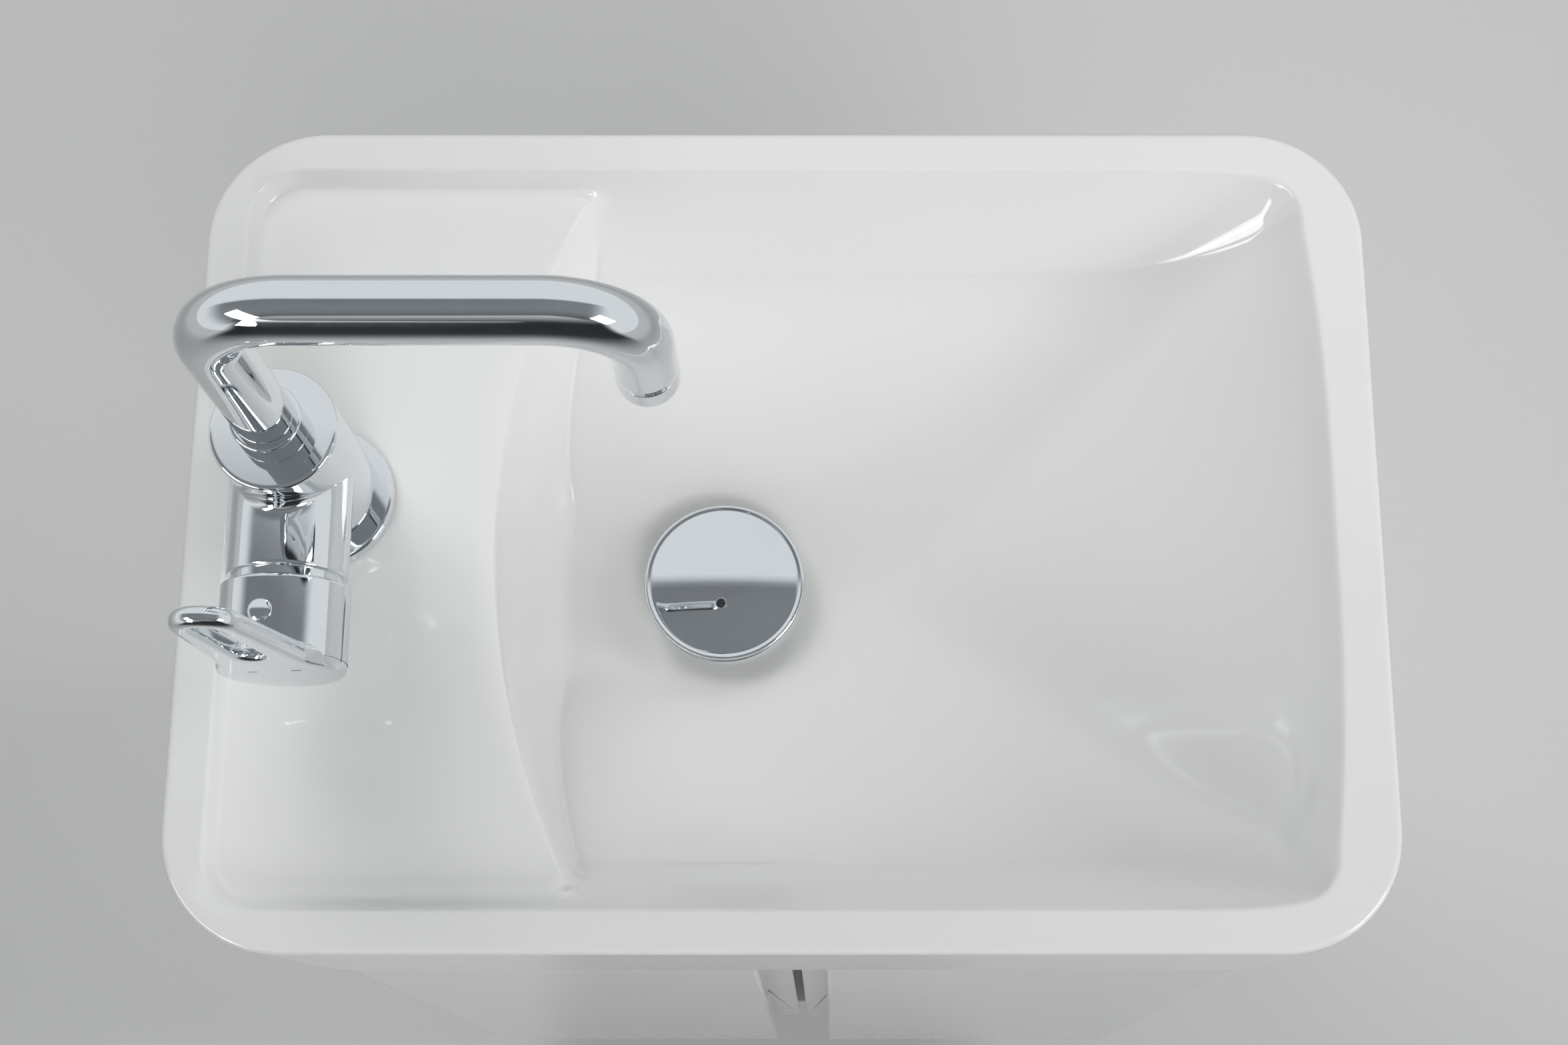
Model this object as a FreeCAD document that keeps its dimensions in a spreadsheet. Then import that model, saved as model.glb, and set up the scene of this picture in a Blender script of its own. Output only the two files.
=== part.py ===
import FreeCAD, Part
import os
import re
import Sketcher
from FreeCAD import Placement, Rotation, Vector

# Floor-standing cloakroom vanity: a ceramic basin with a side tap ledge on a two-door cabinet with legs.
# Millimetres. The origin is on the floor under the middle of the basin, X to the right of a person who
# faces the doors, Y towards the wall, Z up.

DIMENSIONS = {
    # basin body
    "basin_width": 450,
    "basin_depth": 320,
    "rim_height": 870,
    "apron_height": 118,
    "apron_taper": 4.9,
    "basin_corner": 45,
    "rim_edge": 2.5,
    "rim_width": 17,
    "rim_slope": 3,
    "ledge_drop": 7,
    "basin_wall": 11,
    "basin_side": 32,
    "basin_deck": 12,
    "basin_plate": 12,
    "window_width": 76,
    "window_depth": 96,
    # bowl
    "bowl_depth": 104,
    "ledge_width": 120,
    "bowl_arc_radius": 298,
    "bowl_lean_left": 12,
    "shoulder_depth": 49,
    "shoulder_lean": 20,
    "shoulder_lean_left": 5,
    "shoulder_lean_right": 66,
    "shoulder_corner": 20,
    "floor_depth": 68,
    "floor_corner": 12,
    "ramp_foot_gap": 34,
    "drain_inset": 79,
    "drain_hole_radius": 23,
    "tap_inset": 51,
    "tap_offset_y": 11,
    "tap_hole_radius": 18,
    # cabinet
    "cabinet_width": 408,
    "board_thickness": 16,
    "leg_height": 95,
    "wall_gap": 2,
    "panel_setback": 7,
    "front_rail_height": 60,
    "back_rail_height": 90,
    "wall_hole_radius": 3,
    "wall_hole_spacing": 280,
    "shelf_height": 320,
    "shelf_front_setback": 20,
    "shelf_back_gap": 20,
    "shelf_side_gap": 1,
    "shelf_pin_radius": 2.5,
    "shelf_pin_bite": 8,
    "shelf_pin_inset": 40,
    "dowel_radius": 4,
    "dowel_length": 30,
    "dowel_side_bite": 10,
    "dowel_inset": 18,
    "dowel_front_inset": 62,
    "dowel_front_drop": 28,
    "dowel_front_rise": 14,
    # legs
    "leg_inset": 45,
    "leg_plate_radius": 30,
    "leg_plate_thickness": 5,
    "leg_top_radius": 19,
    "leg_foot_radius": 14,
    "pad_radius": 15,
    "pad_thickness": 3,
    "leg_screw_circle": 24.5,
    # screws
    "screw_shank": 1.75,
    "screw_head": 3.5,
    "screw_head_height": 1.75,
    "screw_length": 16,
    # doors
    "door_setback": 16,
    "door_thickness": 16,
    "door_gap": 2,
    "door_reveal": 1,
    "door_back_round": 3,
    "door_front_round": 2,
    "grip_gap": 31,
    "edge_undercut": 3,
    "strip_slot": 4.8,
    "strip_thickness": 6,
    "strip_overlap": 24,
    "strip_screw_inset": 40,
    "bumper_radius": 4,
    "bumper_offset": 22,
    "bumper_gap": 0.3,
    # pivot hinges
    "pivot_inset": 6,
    "hinge_gap": 0.5,
    "leaf_thickness": 2.5,
    "leaf_width": 14,
    "leaf_tail": 48,
    "leaf_screw_first_distance": 20,
    "leaf_screw_second_distance": 38,
    "pin_radius": 2.5,
    "pin_bite": 12,
    "bush_radius": 4,
    "bush_length": 14,
    "running_clearance": 0.06,
    # tap body
    "base_seal_thickness": 1,
    "base_seal_radius": 25,
    "base_ring_radius": 27,
    "base_ring_bore": 16,
    "base_ring_height": 6,
    "tap_body_radius": 22.2,
    "tap_body_height": 80,
    "tap_edge": 1.5,
    "housing_radius": 21.2,
    "housing_reach": 44.5,
    "housing_height": 45,
    "inlet_radius": 5,
    "inlet_depth": 12,
    "inlet_spread": 14,
    "inlet_forward": 4,
    "feed_radius": 2.5,
    "stud_radius": 4,
    "stud_back": 9.5,
    "stud_bite": 10,
    "stud_length": 78,
    "washer_radius": 24,
    "washer_thickness": 3,
    "stud_nut_radius": 7.5,
    "stud_nut_height": 7,
    # cartridge and lever
    "chamber_radius": 18,
    "chamber_depth": 46,
    "cartridge_nut_length": 6,
    "cartridge_nut_bore": 13,
    "groove_width": 3.5,
    "groove_ring_radius": 19.6,
    "groove_ring_length": 2.5,
    "head_radius": 12,
    "head_length": 10,
    "head_gap": 0.5,
    "lift_pivot_depth": 6.5,
    "lift_pin_radius": 1.5,
    "lift_pin_length": 20,
    "lever_stem_width": 8,
    "lever_stem_tail": 3.5,
    "lever_stem_gap": 0.3,
    "lift_slot_height": 15,
    "cap_radius": 22.75,
    "cap_length": 31,
    "cap_bore": 21.4,
    "cap_bore_depth": 8,
    "lever_stem_bite": 13,
    "lever_reach": 76,
    "lever_root_width": 36,
    "lever_tip_width": 24,
    "lever_thickness": 7,
    "lever_slot_width": 10,
    "lever_slot_foot": 28,
    "lever_slot_head": 65,
    "lever_lean": 9,
    "grub_radius": 2,
    "grub_length": 6,
    "grub_setback": 13,
    "plug_radius": 4.5,
    "plug_length": 2.5,
    "mark_width": 3.6,
    "mark_height": 0.8,
    "mark_depth": 0.6,
    "mark_spread": 16,
    "mark_rise": 6,
    # spout
    "collar_radius": 12.3,
    "collar_height": 12,
    "sleeve_radius": 12.2,
    "sleeve_length": 16,
    "spout_radius": 10.5,
    "spout_bore": 8.8,
    "spout_rise": 199,
    "spout_reach": 133,
    "spout_bend": 29,
    "spout_drop": 59,
    "spout_foot_gap": 0.3,
    "waterway_radius": 6,
    "aerator_length": 10,
    "aerator_insert_length": 7,
    "aerator_hole_radius": 0.9,
    "aerator_hole_circle": 5,
    # waste
    "waste_seal_thickness": 1.5,
    "waste_flange_radius": 31,
    "waste_flange_thickness": 2.5,
    "waste_tube_radius": 21,
    "waste_bore": 18,
    "waste_tube_length": 85,
    "waste_washer_radius": 32,
    "waste_washer_thickness": 4,
    "waste_nut_radius": 34,
    "waste_nut_height": 9,
    "plug_travel": 7,
    "plug_seal_gap": 0.3,
    "plug_seal_outer": 27,
    "plug_seal_inner": 20,
    "plug_seal_thickness": 2,
    "plug_cap_radius": 33,
    "plug_cap_edge": 2.5,
    "plug_cap_crown": 3.5,
    "plug_stem_radius": 4,
    "guide_drop": 28,
    "guide_height": 10,
    "guide_wall": 2.5,
    "guide_hub_radius": 7.5,
    "guide_arm_width": 4,
    # trap
    "trap_neck_radius": 16,
    "trap_neck_bore": 13.5,
    "trap_neck_length": 16,
    "trap_neck_flange_radius": 20.5,
    "trap_neck_flange_thickness": 4,
    "trap_nut_radius": 27,
    "trap_nut_height": 20,
    "trap_nut_lip": 6,
    "trap_bottle_radius": 30,
    "trap_bottle_length": 75,
    "trap_wall": 3,
    "trap_stub_radius": 19,
    "trap_stub_reach": 46,
    "trap_cup_radius": 28,
    "trap_cup_length": 60,
    "trap_cup_rim": 7,
    "outlet_pipe_radius": 16,
    "outlet_pipe_bore": 14,
    "outlet_pipe_bite": 12,
    "outlet_bead_radius": 17.5,
    "outlet_bead_width": 3,
    "outlet_spigot_length": 36,
    "outlet_nut_radius": 24,
    "outlet_nut_length": 18,
    "outlet_nut_lip": 5,
    # how far a cutting shape runs past the face that it opens
    "cut_overrun": 2,
}

UP = Vector(0, 0, 1)
DOWN = Vector(0, 0, -1)
RIGHT = Vector(1, 0, 0)
TO_FRONT = Vector(0, -1, 0)
TO_WALL = Vector(0, 1, 0)
FULL_TURN = 360
QUARTER_TURN = 90

# Places, as expressions of the sheet's dimensions.
LEDGE = "(rim_height - ledge_drop)"
CABINET_TOP = "(rim_height - apron_height)"
DECK_UNDERSIDE = f"({LEDGE} - basin_deck)"
BOWL_FLOOR = "(rim_height - bowl_depth)"
SIDE_OUT = "(cabinet_width / 2)"
SIDE_IN = "(cabinet_width / 2 - board_thickness)"
DOOR_FRONT = "(door_setback - basin_depth / 2)"
DOOR_BACK = f"({DOOR_FRONT} + door_thickness)"
CARCASS_FRONT = f"({DOOR_BACK} + door_gap)"
CARCASS_BACK = "(basin_depth / 2 - wall_gap)"
PANEL_FRONT = f"({CARCASS_FRONT} + panel_setback)"
DOOR_OUT = "(cabinet_width / 2 - door_reveal)"
DOOR_LOW = "(leg_height + leaf_thickness + hinge_gap)"
DOOR_HIGH = f"({CABINET_TOP} - leaf_thickness - hinge_gap)"
PIVOT_X = f"(pivot_inset - {DOOR_OUT})"
PIVOT_Y = f"({DOOR_BACK} - pivot_inset)"
BOWL_LEFT = "(ledge_width - basin_width / 2)"
DRAIN_X = f"({BOWL_LEFT} + drain_inset)"
TAP_X = "(tap_inset - basin_width / 2)"
TAP_Y = "tap_offset_y"
BODY_LOW = f"({LEDGE} + base_seal_thickness + base_ring_height)"
BODY_HIGH = f"({BODY_LOW} + tap_body_height)"
CARTRIDGE_Z = f"({BODY_LOW} + housing_height)"
HOUSING_FRONT = "(tap_offset_y - housing_reach)"
SPOUT_AXIS_Z = f"({LEDGE} + spout_rise)"
OUTLET_X = f"({TAP_X} + spout_reach)"
OUTLET_LOW = f"({SPOUT_AXIS_Z} - spout_drop)"
FLANGE_TOP = f"({BOWL_FLOOR} + waste_seal_thickness + waste_flange_thickness)"
WASTE_LOW = f"({FLANGE_TOP} - waste_tube_length)"
PLUG_SEAL_LOW = f"({FLANGE_TOP} + plug_seal_gap + plug_travel)"
PLUG_CAP_LOW = f"({PLUG_SEAL_LOW} + plug_seal_thickness)"
GUIDE_LOW = f"({FLANGE_TOP} - guide_drop)"
TRAP_HEIGHT = "(trap_bottle_length + trap_neck_length + trap_neck_flange_thickness)"
TRAP_LOW = f"({WASTE_LOW} - {TRAP_HEIGHT})"
OUTLET_PIPE_Z = f"({TRAP_LOW} + trap_bottle_length / 2)"

doc = FreeCAD.newDocument("vanity_unit")
sheet = doc.addObject("Spreadsheet::Sheet", "dims")
subparts = []


def fill_sheet():
    """Writes each driving dimension to a cell of its own, named by an alias."""
    for row, (alias, number) in enumerate(DIMENSIONS.items(), 1):
        sheet.set(f"A{row}", alias)
        sheet.set(f"B{row}", str(number))
        sheet.setAlias(f"B{row}", alias)
    doc.recompute()


def bound(text):
    """The expression with each dimension's name pointing at its cell."""
    return re.sub(r"[a-z_]+", lambda word: f"dims.{word[0]}" if word[0] in DIMENSIONS else word[0], text)


def value(text):
    """The expression's present value as a number."""
    return float(sheet.evalExpression(text))


def subpart(item):
    """Registers a finished piece, whose label is its node's name."""
    subparts.append(item)
    return item


def placed(item, at, rotation=Rotation()):
    item.Placement = Placement(Vector(), rotation)
    for axis, text in zip("xyz", at):
        item.setExpression(f"Placement.Base.{axis}", bound(text))
    return item


def box(name, xs, ys, zs):
    """A block between a low and a high place on each axis."""
    item = doc.addObject("Part::Box", name)
    for size, axis, (low, high) in zip(("Length", "Width", "Height"), "xyz", (xs, ys, zs)):
        item.setExpression(size, bound(f"({high}) - ({low})"))
        item.setExpression(f"Placement.Base.{axis}", bound(low))
    return item


def rod(name, radius, length, at, axis=UP):
    item = doc.addObject("Part::Cylinder", name)
    item.setExpression("Radius", bound(radius))
    item.setExpression("Height", bound(length))
    return placed(item, at, Rotation(UP, axis))


def hexagon(name, radius, length, at):
    item = doc.addObject("Part::Prism", name)
    item.setExpression("Circumradius", bound(radius))
    item.setExpression("Height", bound(length))
    return placed(item, at)


def outline(name, points):
    """A closed outline of straight lines, with each corner held at its two distances from the origin."""
    sketch = doc.addObject("Sketcher::SketchObject", name)
    corners = [Vector(value(across), value(along), 0) for across, along in points]
    count = len(points)
    for index in range(count):
        sketch.addGeometry(Part.LineSegment(corners[index], corners[(index + 1) % count]), False)
    for index in range(count):
        sketch.addConstraint(Sketcher.Constraint("Coincident", index, 2, (index + 1) % count, 1))
    for index, (across, along) in enumerate(points):
        for kind, text, axis, now in (("DistanceX", across, -2, corners[index].x),
                                      ("DistanceY", along, -1, corners[index].y)):
            if text == "0":
                sketch.addConstraint(Sketcher.Constraint("PointOnObject", index, 1, axis))
                continue
            number = sketch.addConstraint(Sketcher.Constraint(kind, -1, 1, index, 1, now))
            sketch.setExpression(f"Constraints[{number}]", bound(text))
    return sketch


def turned(name, points, at, axis=UP):
    """A turned piece. Each point is a radius and a distance along the axis."""
    item = doc.addObject("Part::Revolution", name)
    item.Source = outline(f"{name}_outline", points)
    item.Axis = TO_WALL
    item.Angle = FULL_TURN
    item.Solid = True
    return placed(item, at, Rotation(TO_WALL, axis))


def tube(name, outer, inner, length, at, axis=UP):
    """A plain ring or pipe."""
    return turned(name, [(inner, "0"), (outer, "0"), (outer, length), (inner, length)], at, axis)


def extruded(name, points, length, at, rotation=Rotation()):
    item = doc.addObject("Part::Extrusion", name)
    item.Base = outline(f"{name}_outline", points)
    item.DirMode = "Custom"
    item.Dir = UP
    item.Solid = True
    item.setExpression("LengthFwd", bound(length))
    return placed(item, at, rotation)


def joined(name, *items):
    item = doc.addObject("Part::MultiFuse", name)
    item.Shapes = list(items)
    return item


def group(name, *items):
    """Separate solids that share one node."""
    item = doc.addObject("Part::Compound", name)
    item.Links = list(items)
    return item


def cut(name, base, *tools):
    item = doc.addObject("Part::Cut", name)
    item.Base = base
    item.Tool = tools[0] if len(tools) == 1 else joined(f"{name}_tools", *tools)
    return item


def mirrored(name, source):
    """The same piece on the other side of the unit's middle plane."""
    item = doc.addObject("Part::Mirroring", name)
    item.Source = source
    item.Normal = RIGHT
    return item


def rounded(name, base, radius, chosen):
    """The base with each edge that the test picks rounded to the radius."""
    doc.recompute()
    size = value(radius)
    item = doc.addObject("Part::Fillet", name)
    item.Base = base
    item.Edges = [(number, size, size) for number, edge in enumerate(base.Shape.Edges, 1) if chosen(edge)]
    return item


def upright_at(*places):
    """Picks the upright edges that stand at one of the plan places."""
    points = [(value(across), value(along)) for across, along in places]

    def chosen(edge):
        ends = [vertex.Point for vertex in edge.Vertexes]
        near = edge.Length * edge.Tolerance
        if len(ends) < 2 or (ends[0] - ends[1]).cross(UP).Length > near:
            return False
        return any(abs(ends[0].x - x) + abs(ends[0].y - y) < near for x, y in points)

    return chosen


def screw(name, at, axis):
    """A countersunk wood screw. It starts at its tip, and the axis points from the tip to the head."""
    points = [("0", "0"), ("screw_shank", "0"), ("screw_shank", "screw_length - screw_head_height"),
              ("screw_head", "screw_length"), ("0", "screw_length")]
    return turned(name, points, at, axis)


def rounded_rectangle(half_width, half_depth, radius, height):
    """A closed wire round a rectangle about the Z axis, as four lines and four corner arcs."""
    edges = []
    corners = [(half_width - radius, half_depth - radius), (radius - half_width, half_depth - radius),
               (radius - half_width, radius - half_depth), (half_width - radius, radius - half_depth)]
    for index, (x, y) in enumerate(corners):
        start = index * QUARTER_TURN
        arc = Part.makeCircle(radius, Vector(x, y, height), UP, start, start + QUARTER_TURN)
        if edges:
            edges.append(Part.makeLine(edges[-1].Vertexes[-1].Point, arc.Vertexes[0].Point))
        edges.append(arc)
    edges.append(Part.makeLine(edges[-1].Vertexes[-1].Point, edges[0].Vertexes[0].Point))
    return Part.Wire(edges)


def bowl_wires(grow):
    """The bowl's outlines at rim, ledge, shoulder and floor, moved outwards by a wall's thickness.

    Each runs round the same six edges: the curved left side, the back, the back corner, the right side,
    the front corner and the front. Below the shoulder the long ramp and two gentler slopes run to the floor.
    """
    ledge = value(LEDGE)
    half_width = value("basin_width / 2 - rim_width - rim_slope") + grow
    half_depth = value("basin_depth / 2 - rim_width - rim_slope") + grow
    corner = value("basin_corner - rim_width - rim_slope") + grow
    arc_centre = value(f"bowl_arc_radius + {BOWL_LEFT}")
    arc_radius = value("bowl_arc_radius") + grow

    def wire(height, left_radius, depth, right, radius):
        arc_x = arc_centre - (left_radius ** 2 - depth ** 2) ** 0.5
        left = Part.Arc(Vector(arc_x, -depth, height), Vector(arc_centre - left_radius, 0, height),
                        Vector(arc_x, depth, height)).toShape()
        bulge = radius * 0.5 ** 0.5
        middle = Vector(right - radius, depth - radius, height)
        back_corner = Part.Arc(middle + Vector(0, radius, 0), middle + Vector(bulge, bulge, 0),
                               middle + Vector(radius, 0, 0)).toShape()
        middle.y = -middle.y
        front_corner = Part.Arc(middle + Vector(radius, 0, 0), middle + Vector(bulge, -bulge, 0),
                                middle + Vector(0, -radius, 0)).toShape()
        back_start, front_end = Vector(arc_x, depth, height), Vector(arc_x, -depth, height)
        return Part.Wire([left,
                          Part.makeLine(back_start, back_corner.Vertexes[0].Point),
                          back_corner,
                          Part.makeLine(back_corner.Vertexes[-1].Point, front_corner.Vertexes[0].Point),
                          front_corner,
                          Part.makeLine(front_corner.Vertexes[-1].Point, front_end)])

    def at_ledge(height):
        return wire(height, arc_radius, half_depth, half_width, corner)

    at_shoulder = wire(value("rim_height - shoulder_depth"), arc_radius - value("shoulder_lean_left"),
                       half_depth - value("shoulder_lean"), half_width - value("shoulder_lean_right"),
                       value("shoulder_corner") + grow)
    at_floor = wire(value(BOWL_FLOOR) - grow, arc_radius - value("bowl_lean_left"),
                    value("floor_depth / 2") + grow, value(f"{DRAIN_X} + ramp_foot_gap") + grow,
                    value("floor_corner") + grow)
    return [at_ledge(ledge + value("ledge_drop")), at_ledge(ledge), at_shoulder, at_floor]


def basin():
    """Casting with a tapered apron, rim, sunk ledge and sloping bowl, and holes for the tap and the drain.

    It is hollow round the bowl, with a window in its underside at each end of the hollow. The bowl below
    the shoulder is written as a piece of its own.
    """
    half_width = value("basin_width / 2")
    half_depth = value("basin_depth / 2")
    corner = value("basin_corner")
    top = value("rim_height")
    foot = value(CABINET_TOP)

    def block(inset_low, inset_high, low, high):
        wires = [rounded_rectangle(half_width - inset, half_depth - inset, corner - inset, height)
                 for inset, height in ((inset_low, low), (inset_high, high))]
        return Part.makeLoft(wires, True, True)

    taper = value("apron_taper")
    outer = block(taper, 0, foot, top)
    rim_edges = [edge for edge in outer.Edges if all(vertex.Point.z == top for vertex in edge.Vertexes)]
    outer = outer.makeFillet(value("rim_edge"), rim_edges)

    wall = value("basin_wall")
    floor = foot + value("basin_plate")
    reach = half_width - wall - taper
    side = half_depth - value("basin_side")
    hollow = Part.makeBox(reach * 2, side * 2, value(DECK_UNDERSIDE) - floor, Vector(-reach, -side, floor))
    shell = Part.makeLoft(bowl_wires(wall), True, True)
    hollow = hollow.cut(shell)

    over = value("cut_overrun")
    rim = value("rim_width")
    slope = value("rim_slope")
    drop = value("ledge_drop")
    recess = block(rim + slope, rim - slope * over / drop, value(LEDGE), top + over)
    bowl = Part.makeLoft(bowl_wires(0), True, True)

    window_width = value("window_width")
    window_depth = value("window_depth")
    windows = [Part.makeBox(window_width, window_depth, value("basin_plate") + over + over,
                            Vector(middle - window_width / 2, value(TAP_Y) - window_depth / 2, foot - over))
               for middle in (value(TAP_X), -value(TAP_X))]
    tap_hole = Part.makeCylinder(value("tap_hole_radius"), value("basin_deck") + over + over,
                                 Vector(value(TAP_X), value(TAP_Y), value(DECK_UNDERSIDE) - over))
    drain = Part.makeCylinder(value("drain_hole_radius"), value(BOWL_FLOOR) - foot + over + over,
                              Vector(value(DRAIN_X), 0, foot - over))
    casting = outer.cut([hollow, recess, bowl, *windows, tap_hole, drain])
    below = Part.makeBox(half_width * 2, half_depth * 2, top - value("shoulder_depth") - foot,
                         Vector(-half_width, -half_depth, foot))
    lower = shell.common(below)
    upper_piece = doc.addObject("Part::Feature", "basin")
    upper_piece.Shape = casting.cut(lower)
    lower_piece = doc.addObject("Part::Feature", "basin_bowl")
    lower_piece.Shape = casting.common(lower)
    return upper_piece, lower_piece


def left_dowels():
    """Dowels between the left side panel and each board that meets it."""
    front_y = f"{PANEL_FRONT} + board_thickness / 2"
    back_y = f"{CARCASS_BACK} - board_thickness / 2"
    floor_z = "leg_height + board_thickness / 2"
    places = [(f"{PANEL_FRONT} + dowel_front_inset", floor_z),
              (f"{CARCASS_BACK} - board_thickness - dowel_inset", floor_z),
              (front_y, f"{CABINET_TOP} - dowel_front_drop"),
              (front_y, f"{CABINET_TOP} - front_rail_height + dowel_front_rise"),
              (back_y, f"{CABINET_TOP} - dowel_inset"),
              (back_y, f"{CABINET_TOP} - back_rail_height + dowel_inset"),
              (back_y, "leg_height + board_thickness + dowel_inset"),
              (back_y, "leg_height + board_thickness + back_rail_height - dowel_inset")]
    start = f"-{SIDE_IN} - dowel_side_bite"
    return group("left_dowels", *[
        rod(f"dowel_{number}", "dowel_radius", "dowel_length", (start, y, z), RIGHT)
        for number, (y, z) in enumerate(places, 1)])


def left_shelf_pins():
    places = {"front": f"{CARCASS_FRONT} + shelf_front_setback + shelf_pin_inset",
              "back": f"{CARCASS_BACK} - board_thickness - shelf_back_gap - shelf_pin_inset"}
    return group("left_shelf_pins", *[
        rod(f"shelf_pin_{name}", "shelf_pin_radius", "2 * shelf_pin_bite",
            (f"-{SIDE_IN} - shelf_pin_bite", y, "shelf_height - shelf_pin_radius"), RIGHT)
        for name, y in places.items()])


def left_leaf_screws():
    """Two screws down through the upper leaf and two up through the lower leaf."""
    screws = []
    for number, distance in enumerate(("leaf_screw_first_distance", "leaf_screw_second_distance"), 1):
        y = f"{PIVOT_Y} + {distance}"
        upper_tip = (PIVOT_X, y, f"{CABINET_TOP} - screw_length")
        lower_tip = (PIVOT_X, y, "leg_height + screw_length")
        screws.append(screw(f"upper_leaf_screw_{number}", upper_tip, UP))
        screws.append(screw(f"lower_leaf_screw_{number}", lower_tip, DOWN))
    return group("left_leaf_screws", *screws)


def leg_places():
    across = f"({SIDE_IN} - leg_inset)"
    front = f"({PANEL_FRONT} + leg_inset)"
    back = f"({CARCASS_BACK} - leg_inset)"
    return {"front_left": (f"-{across}", front), "front_right": (across, front),
            "back_left": (f"-{across}", back), "back_right": (across, back)}


def leg_screws():
    """Three screws up through each leg's plate."""
    screws = []
    for name, (x, y) in leg_places().items():
        for turn in range(0, FULL_TURN, FULL_TURN // 3):
            at = (f"{x} + leg_screw_circle * cos({turn})", f"{y} + leg_screw_circle * sin({turn})",
                  "leg_height - leg_plate_thickness + screw_length")
            screws.append(screw(f"leg_screw_{name}_{turn}", at, DOWN))
    return group("leg_screws", *screws)


def legs(screws):
    shapes, pads = [], []
    shaft = "leg_height - pad_thickness - leg_plate_thickness"
    profile = [("0", "0"), ("leg_foot_radius", "0"), ("leg_top_radius", shaft), ("leg_plate_radius", shaft),
               ("leg_plate_radius", "leg_height - pad_thickness"), ("0", "leg_height - pad_thickness")]
    for name, (x, y) in leg_places().items():
        shape = turned(f"leg_shape_{name}", profile, (x, y, "pad_thickness"))
        shapes.append(cut(f"leg_{name}", shape, screws))
        pads.append(rod(f"leg_pad_{name}", "pad_radius", "pad_thickness", (x, y, "0")))
    subpart(group("legs", *shapes))
    subpart(group("leg_pads", *pads))


def carcass(dowels, pins, leaf_screws, legs_screws):
    """Two sides, bottom, rails and shelf. The right side is the left one's mirror image."""
    across = (f"-{SIDE_IN}", SIDE_IN)
    leaf_end = f"{PIVOT_Y} + leaf_tail"
    side = box("left_side_board", (f"-{SIDE_OUT}", f"-{SIDE_IN}"), (CARCASS_FRONT, CARCASS_BACK),
               ("leg_height", CABINET_TOP))
    seats = [box(f"{name}_leaf_seat", (f"-{SIDE_OUT} - cut_overrun", f"-{SIDE_IN} + cut_overrun"),
                 (f"{CARCASS_FRONT} - cut_overrun", leaf_end), zs)
             for name, zs in {"upper": (f"{CABINET_TOP} - leaf_thickness", f"{CABINET_TOP} + cut_overrun"),
                              "lower": ("leg_height - cut_overrun", "leg_height + leaf_thickness")}.items()]
    left = subpart(cut("side_panel_left", side, *seats, dowels, pins, leaf_screws))
    subpart(mirrored("side_panel_right", left))
    both_dowels = subpart(group("dowels", dowels, mirrored("right_dowels", dowels)))
    subpart(group("shelf_pins", pins, mirrored("right_shelf_pins", pins)))
    subpart(group("cabinet_screws", leaf_screws, mirrored("right_leaf_screws", leaf_screws), legs_screws))

    bottom = box("bottom_board", across, (PANEL_FRONT, CARCASS_BACK),
                 ("leg_height", "leg_height + board_thickness"))
    subpart(cut("bottom_panel", bottom, both_dowels, legs_screws))
    front = box("front_rail_board", across, (PANEL_FRONT, f"{PANEL_FRONT} + board_thickness"),
                (f"{CABINET_TOP} - front_rail_height", CABINET_TOP))
    subpart(cut("front_rail", front, both_dowels))
    back = (f"{CARCASS_BACK} - board_thickness", CARCASS_BACK)
    upper = box("upper_back_board", across, back, (f"{CABINET_TOP} - back_rail_height", CABINET_TOP))
    wall_holes = [rod(f"wall_hole_{name}", "wall_hole_radius", "board_thickness + 2 * cut_overrun",
                      (f"{side_sign}wall_hole_spacing / 2", f"{CARCASS_BACK} + cut_overrun",
                       f"{CABINET_TOP} - back_rail_height / 2"), TO_FRONT)
                  for name, side_sign in {"left": "-", "right": ""}.items()]
    subpart(cut("upper_back_rail", upper, both_dowels, *wall_holes))
    lower_low = "leg_height + board_thickness"
    lower = box("lower_back_board", across, back, (lower_low, f"{lower_low} + back_rail_height"))
    subpart(cut("lower_back_rail", lower, both_dowels))
    shelf_end = f"{SIDE_IN} - shelf_side_gap"
    shelf_front = f"{CARCASS_FRONT} + shelf_front_setback"
    shelf_back = f"{CARCASS_BACK} - board_thickness - shelf_back_gap"
    subpart(box("shelf", (f"-({shelf_end})", shelf_end), (shelf_front, shelf_back),
                ("shelf_height", "shelf_height + board_thickness")))
    bumpers = []
    thickness = f"({PANEL_FRONT} - {DOOR_BACK} - strip_thickness - bumper_gap)"
    for name, z in {"upper": f"{CABINET_TOP} - front_rail_height / 2",
                    "lower": "leg_height + board_thickness / 2"}.items():
        for hand, sign in {"left": "-", "right": ""}.items():
            bumpers.append(rod(f"{name}_{hand}_bumper", "bumper_radius", thickness,
                               (f"{sign}bumper_offset", PANEL_FRONT, z), TO_FRONT))
    subpart(group("door_bumpers", *bumpers))


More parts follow.
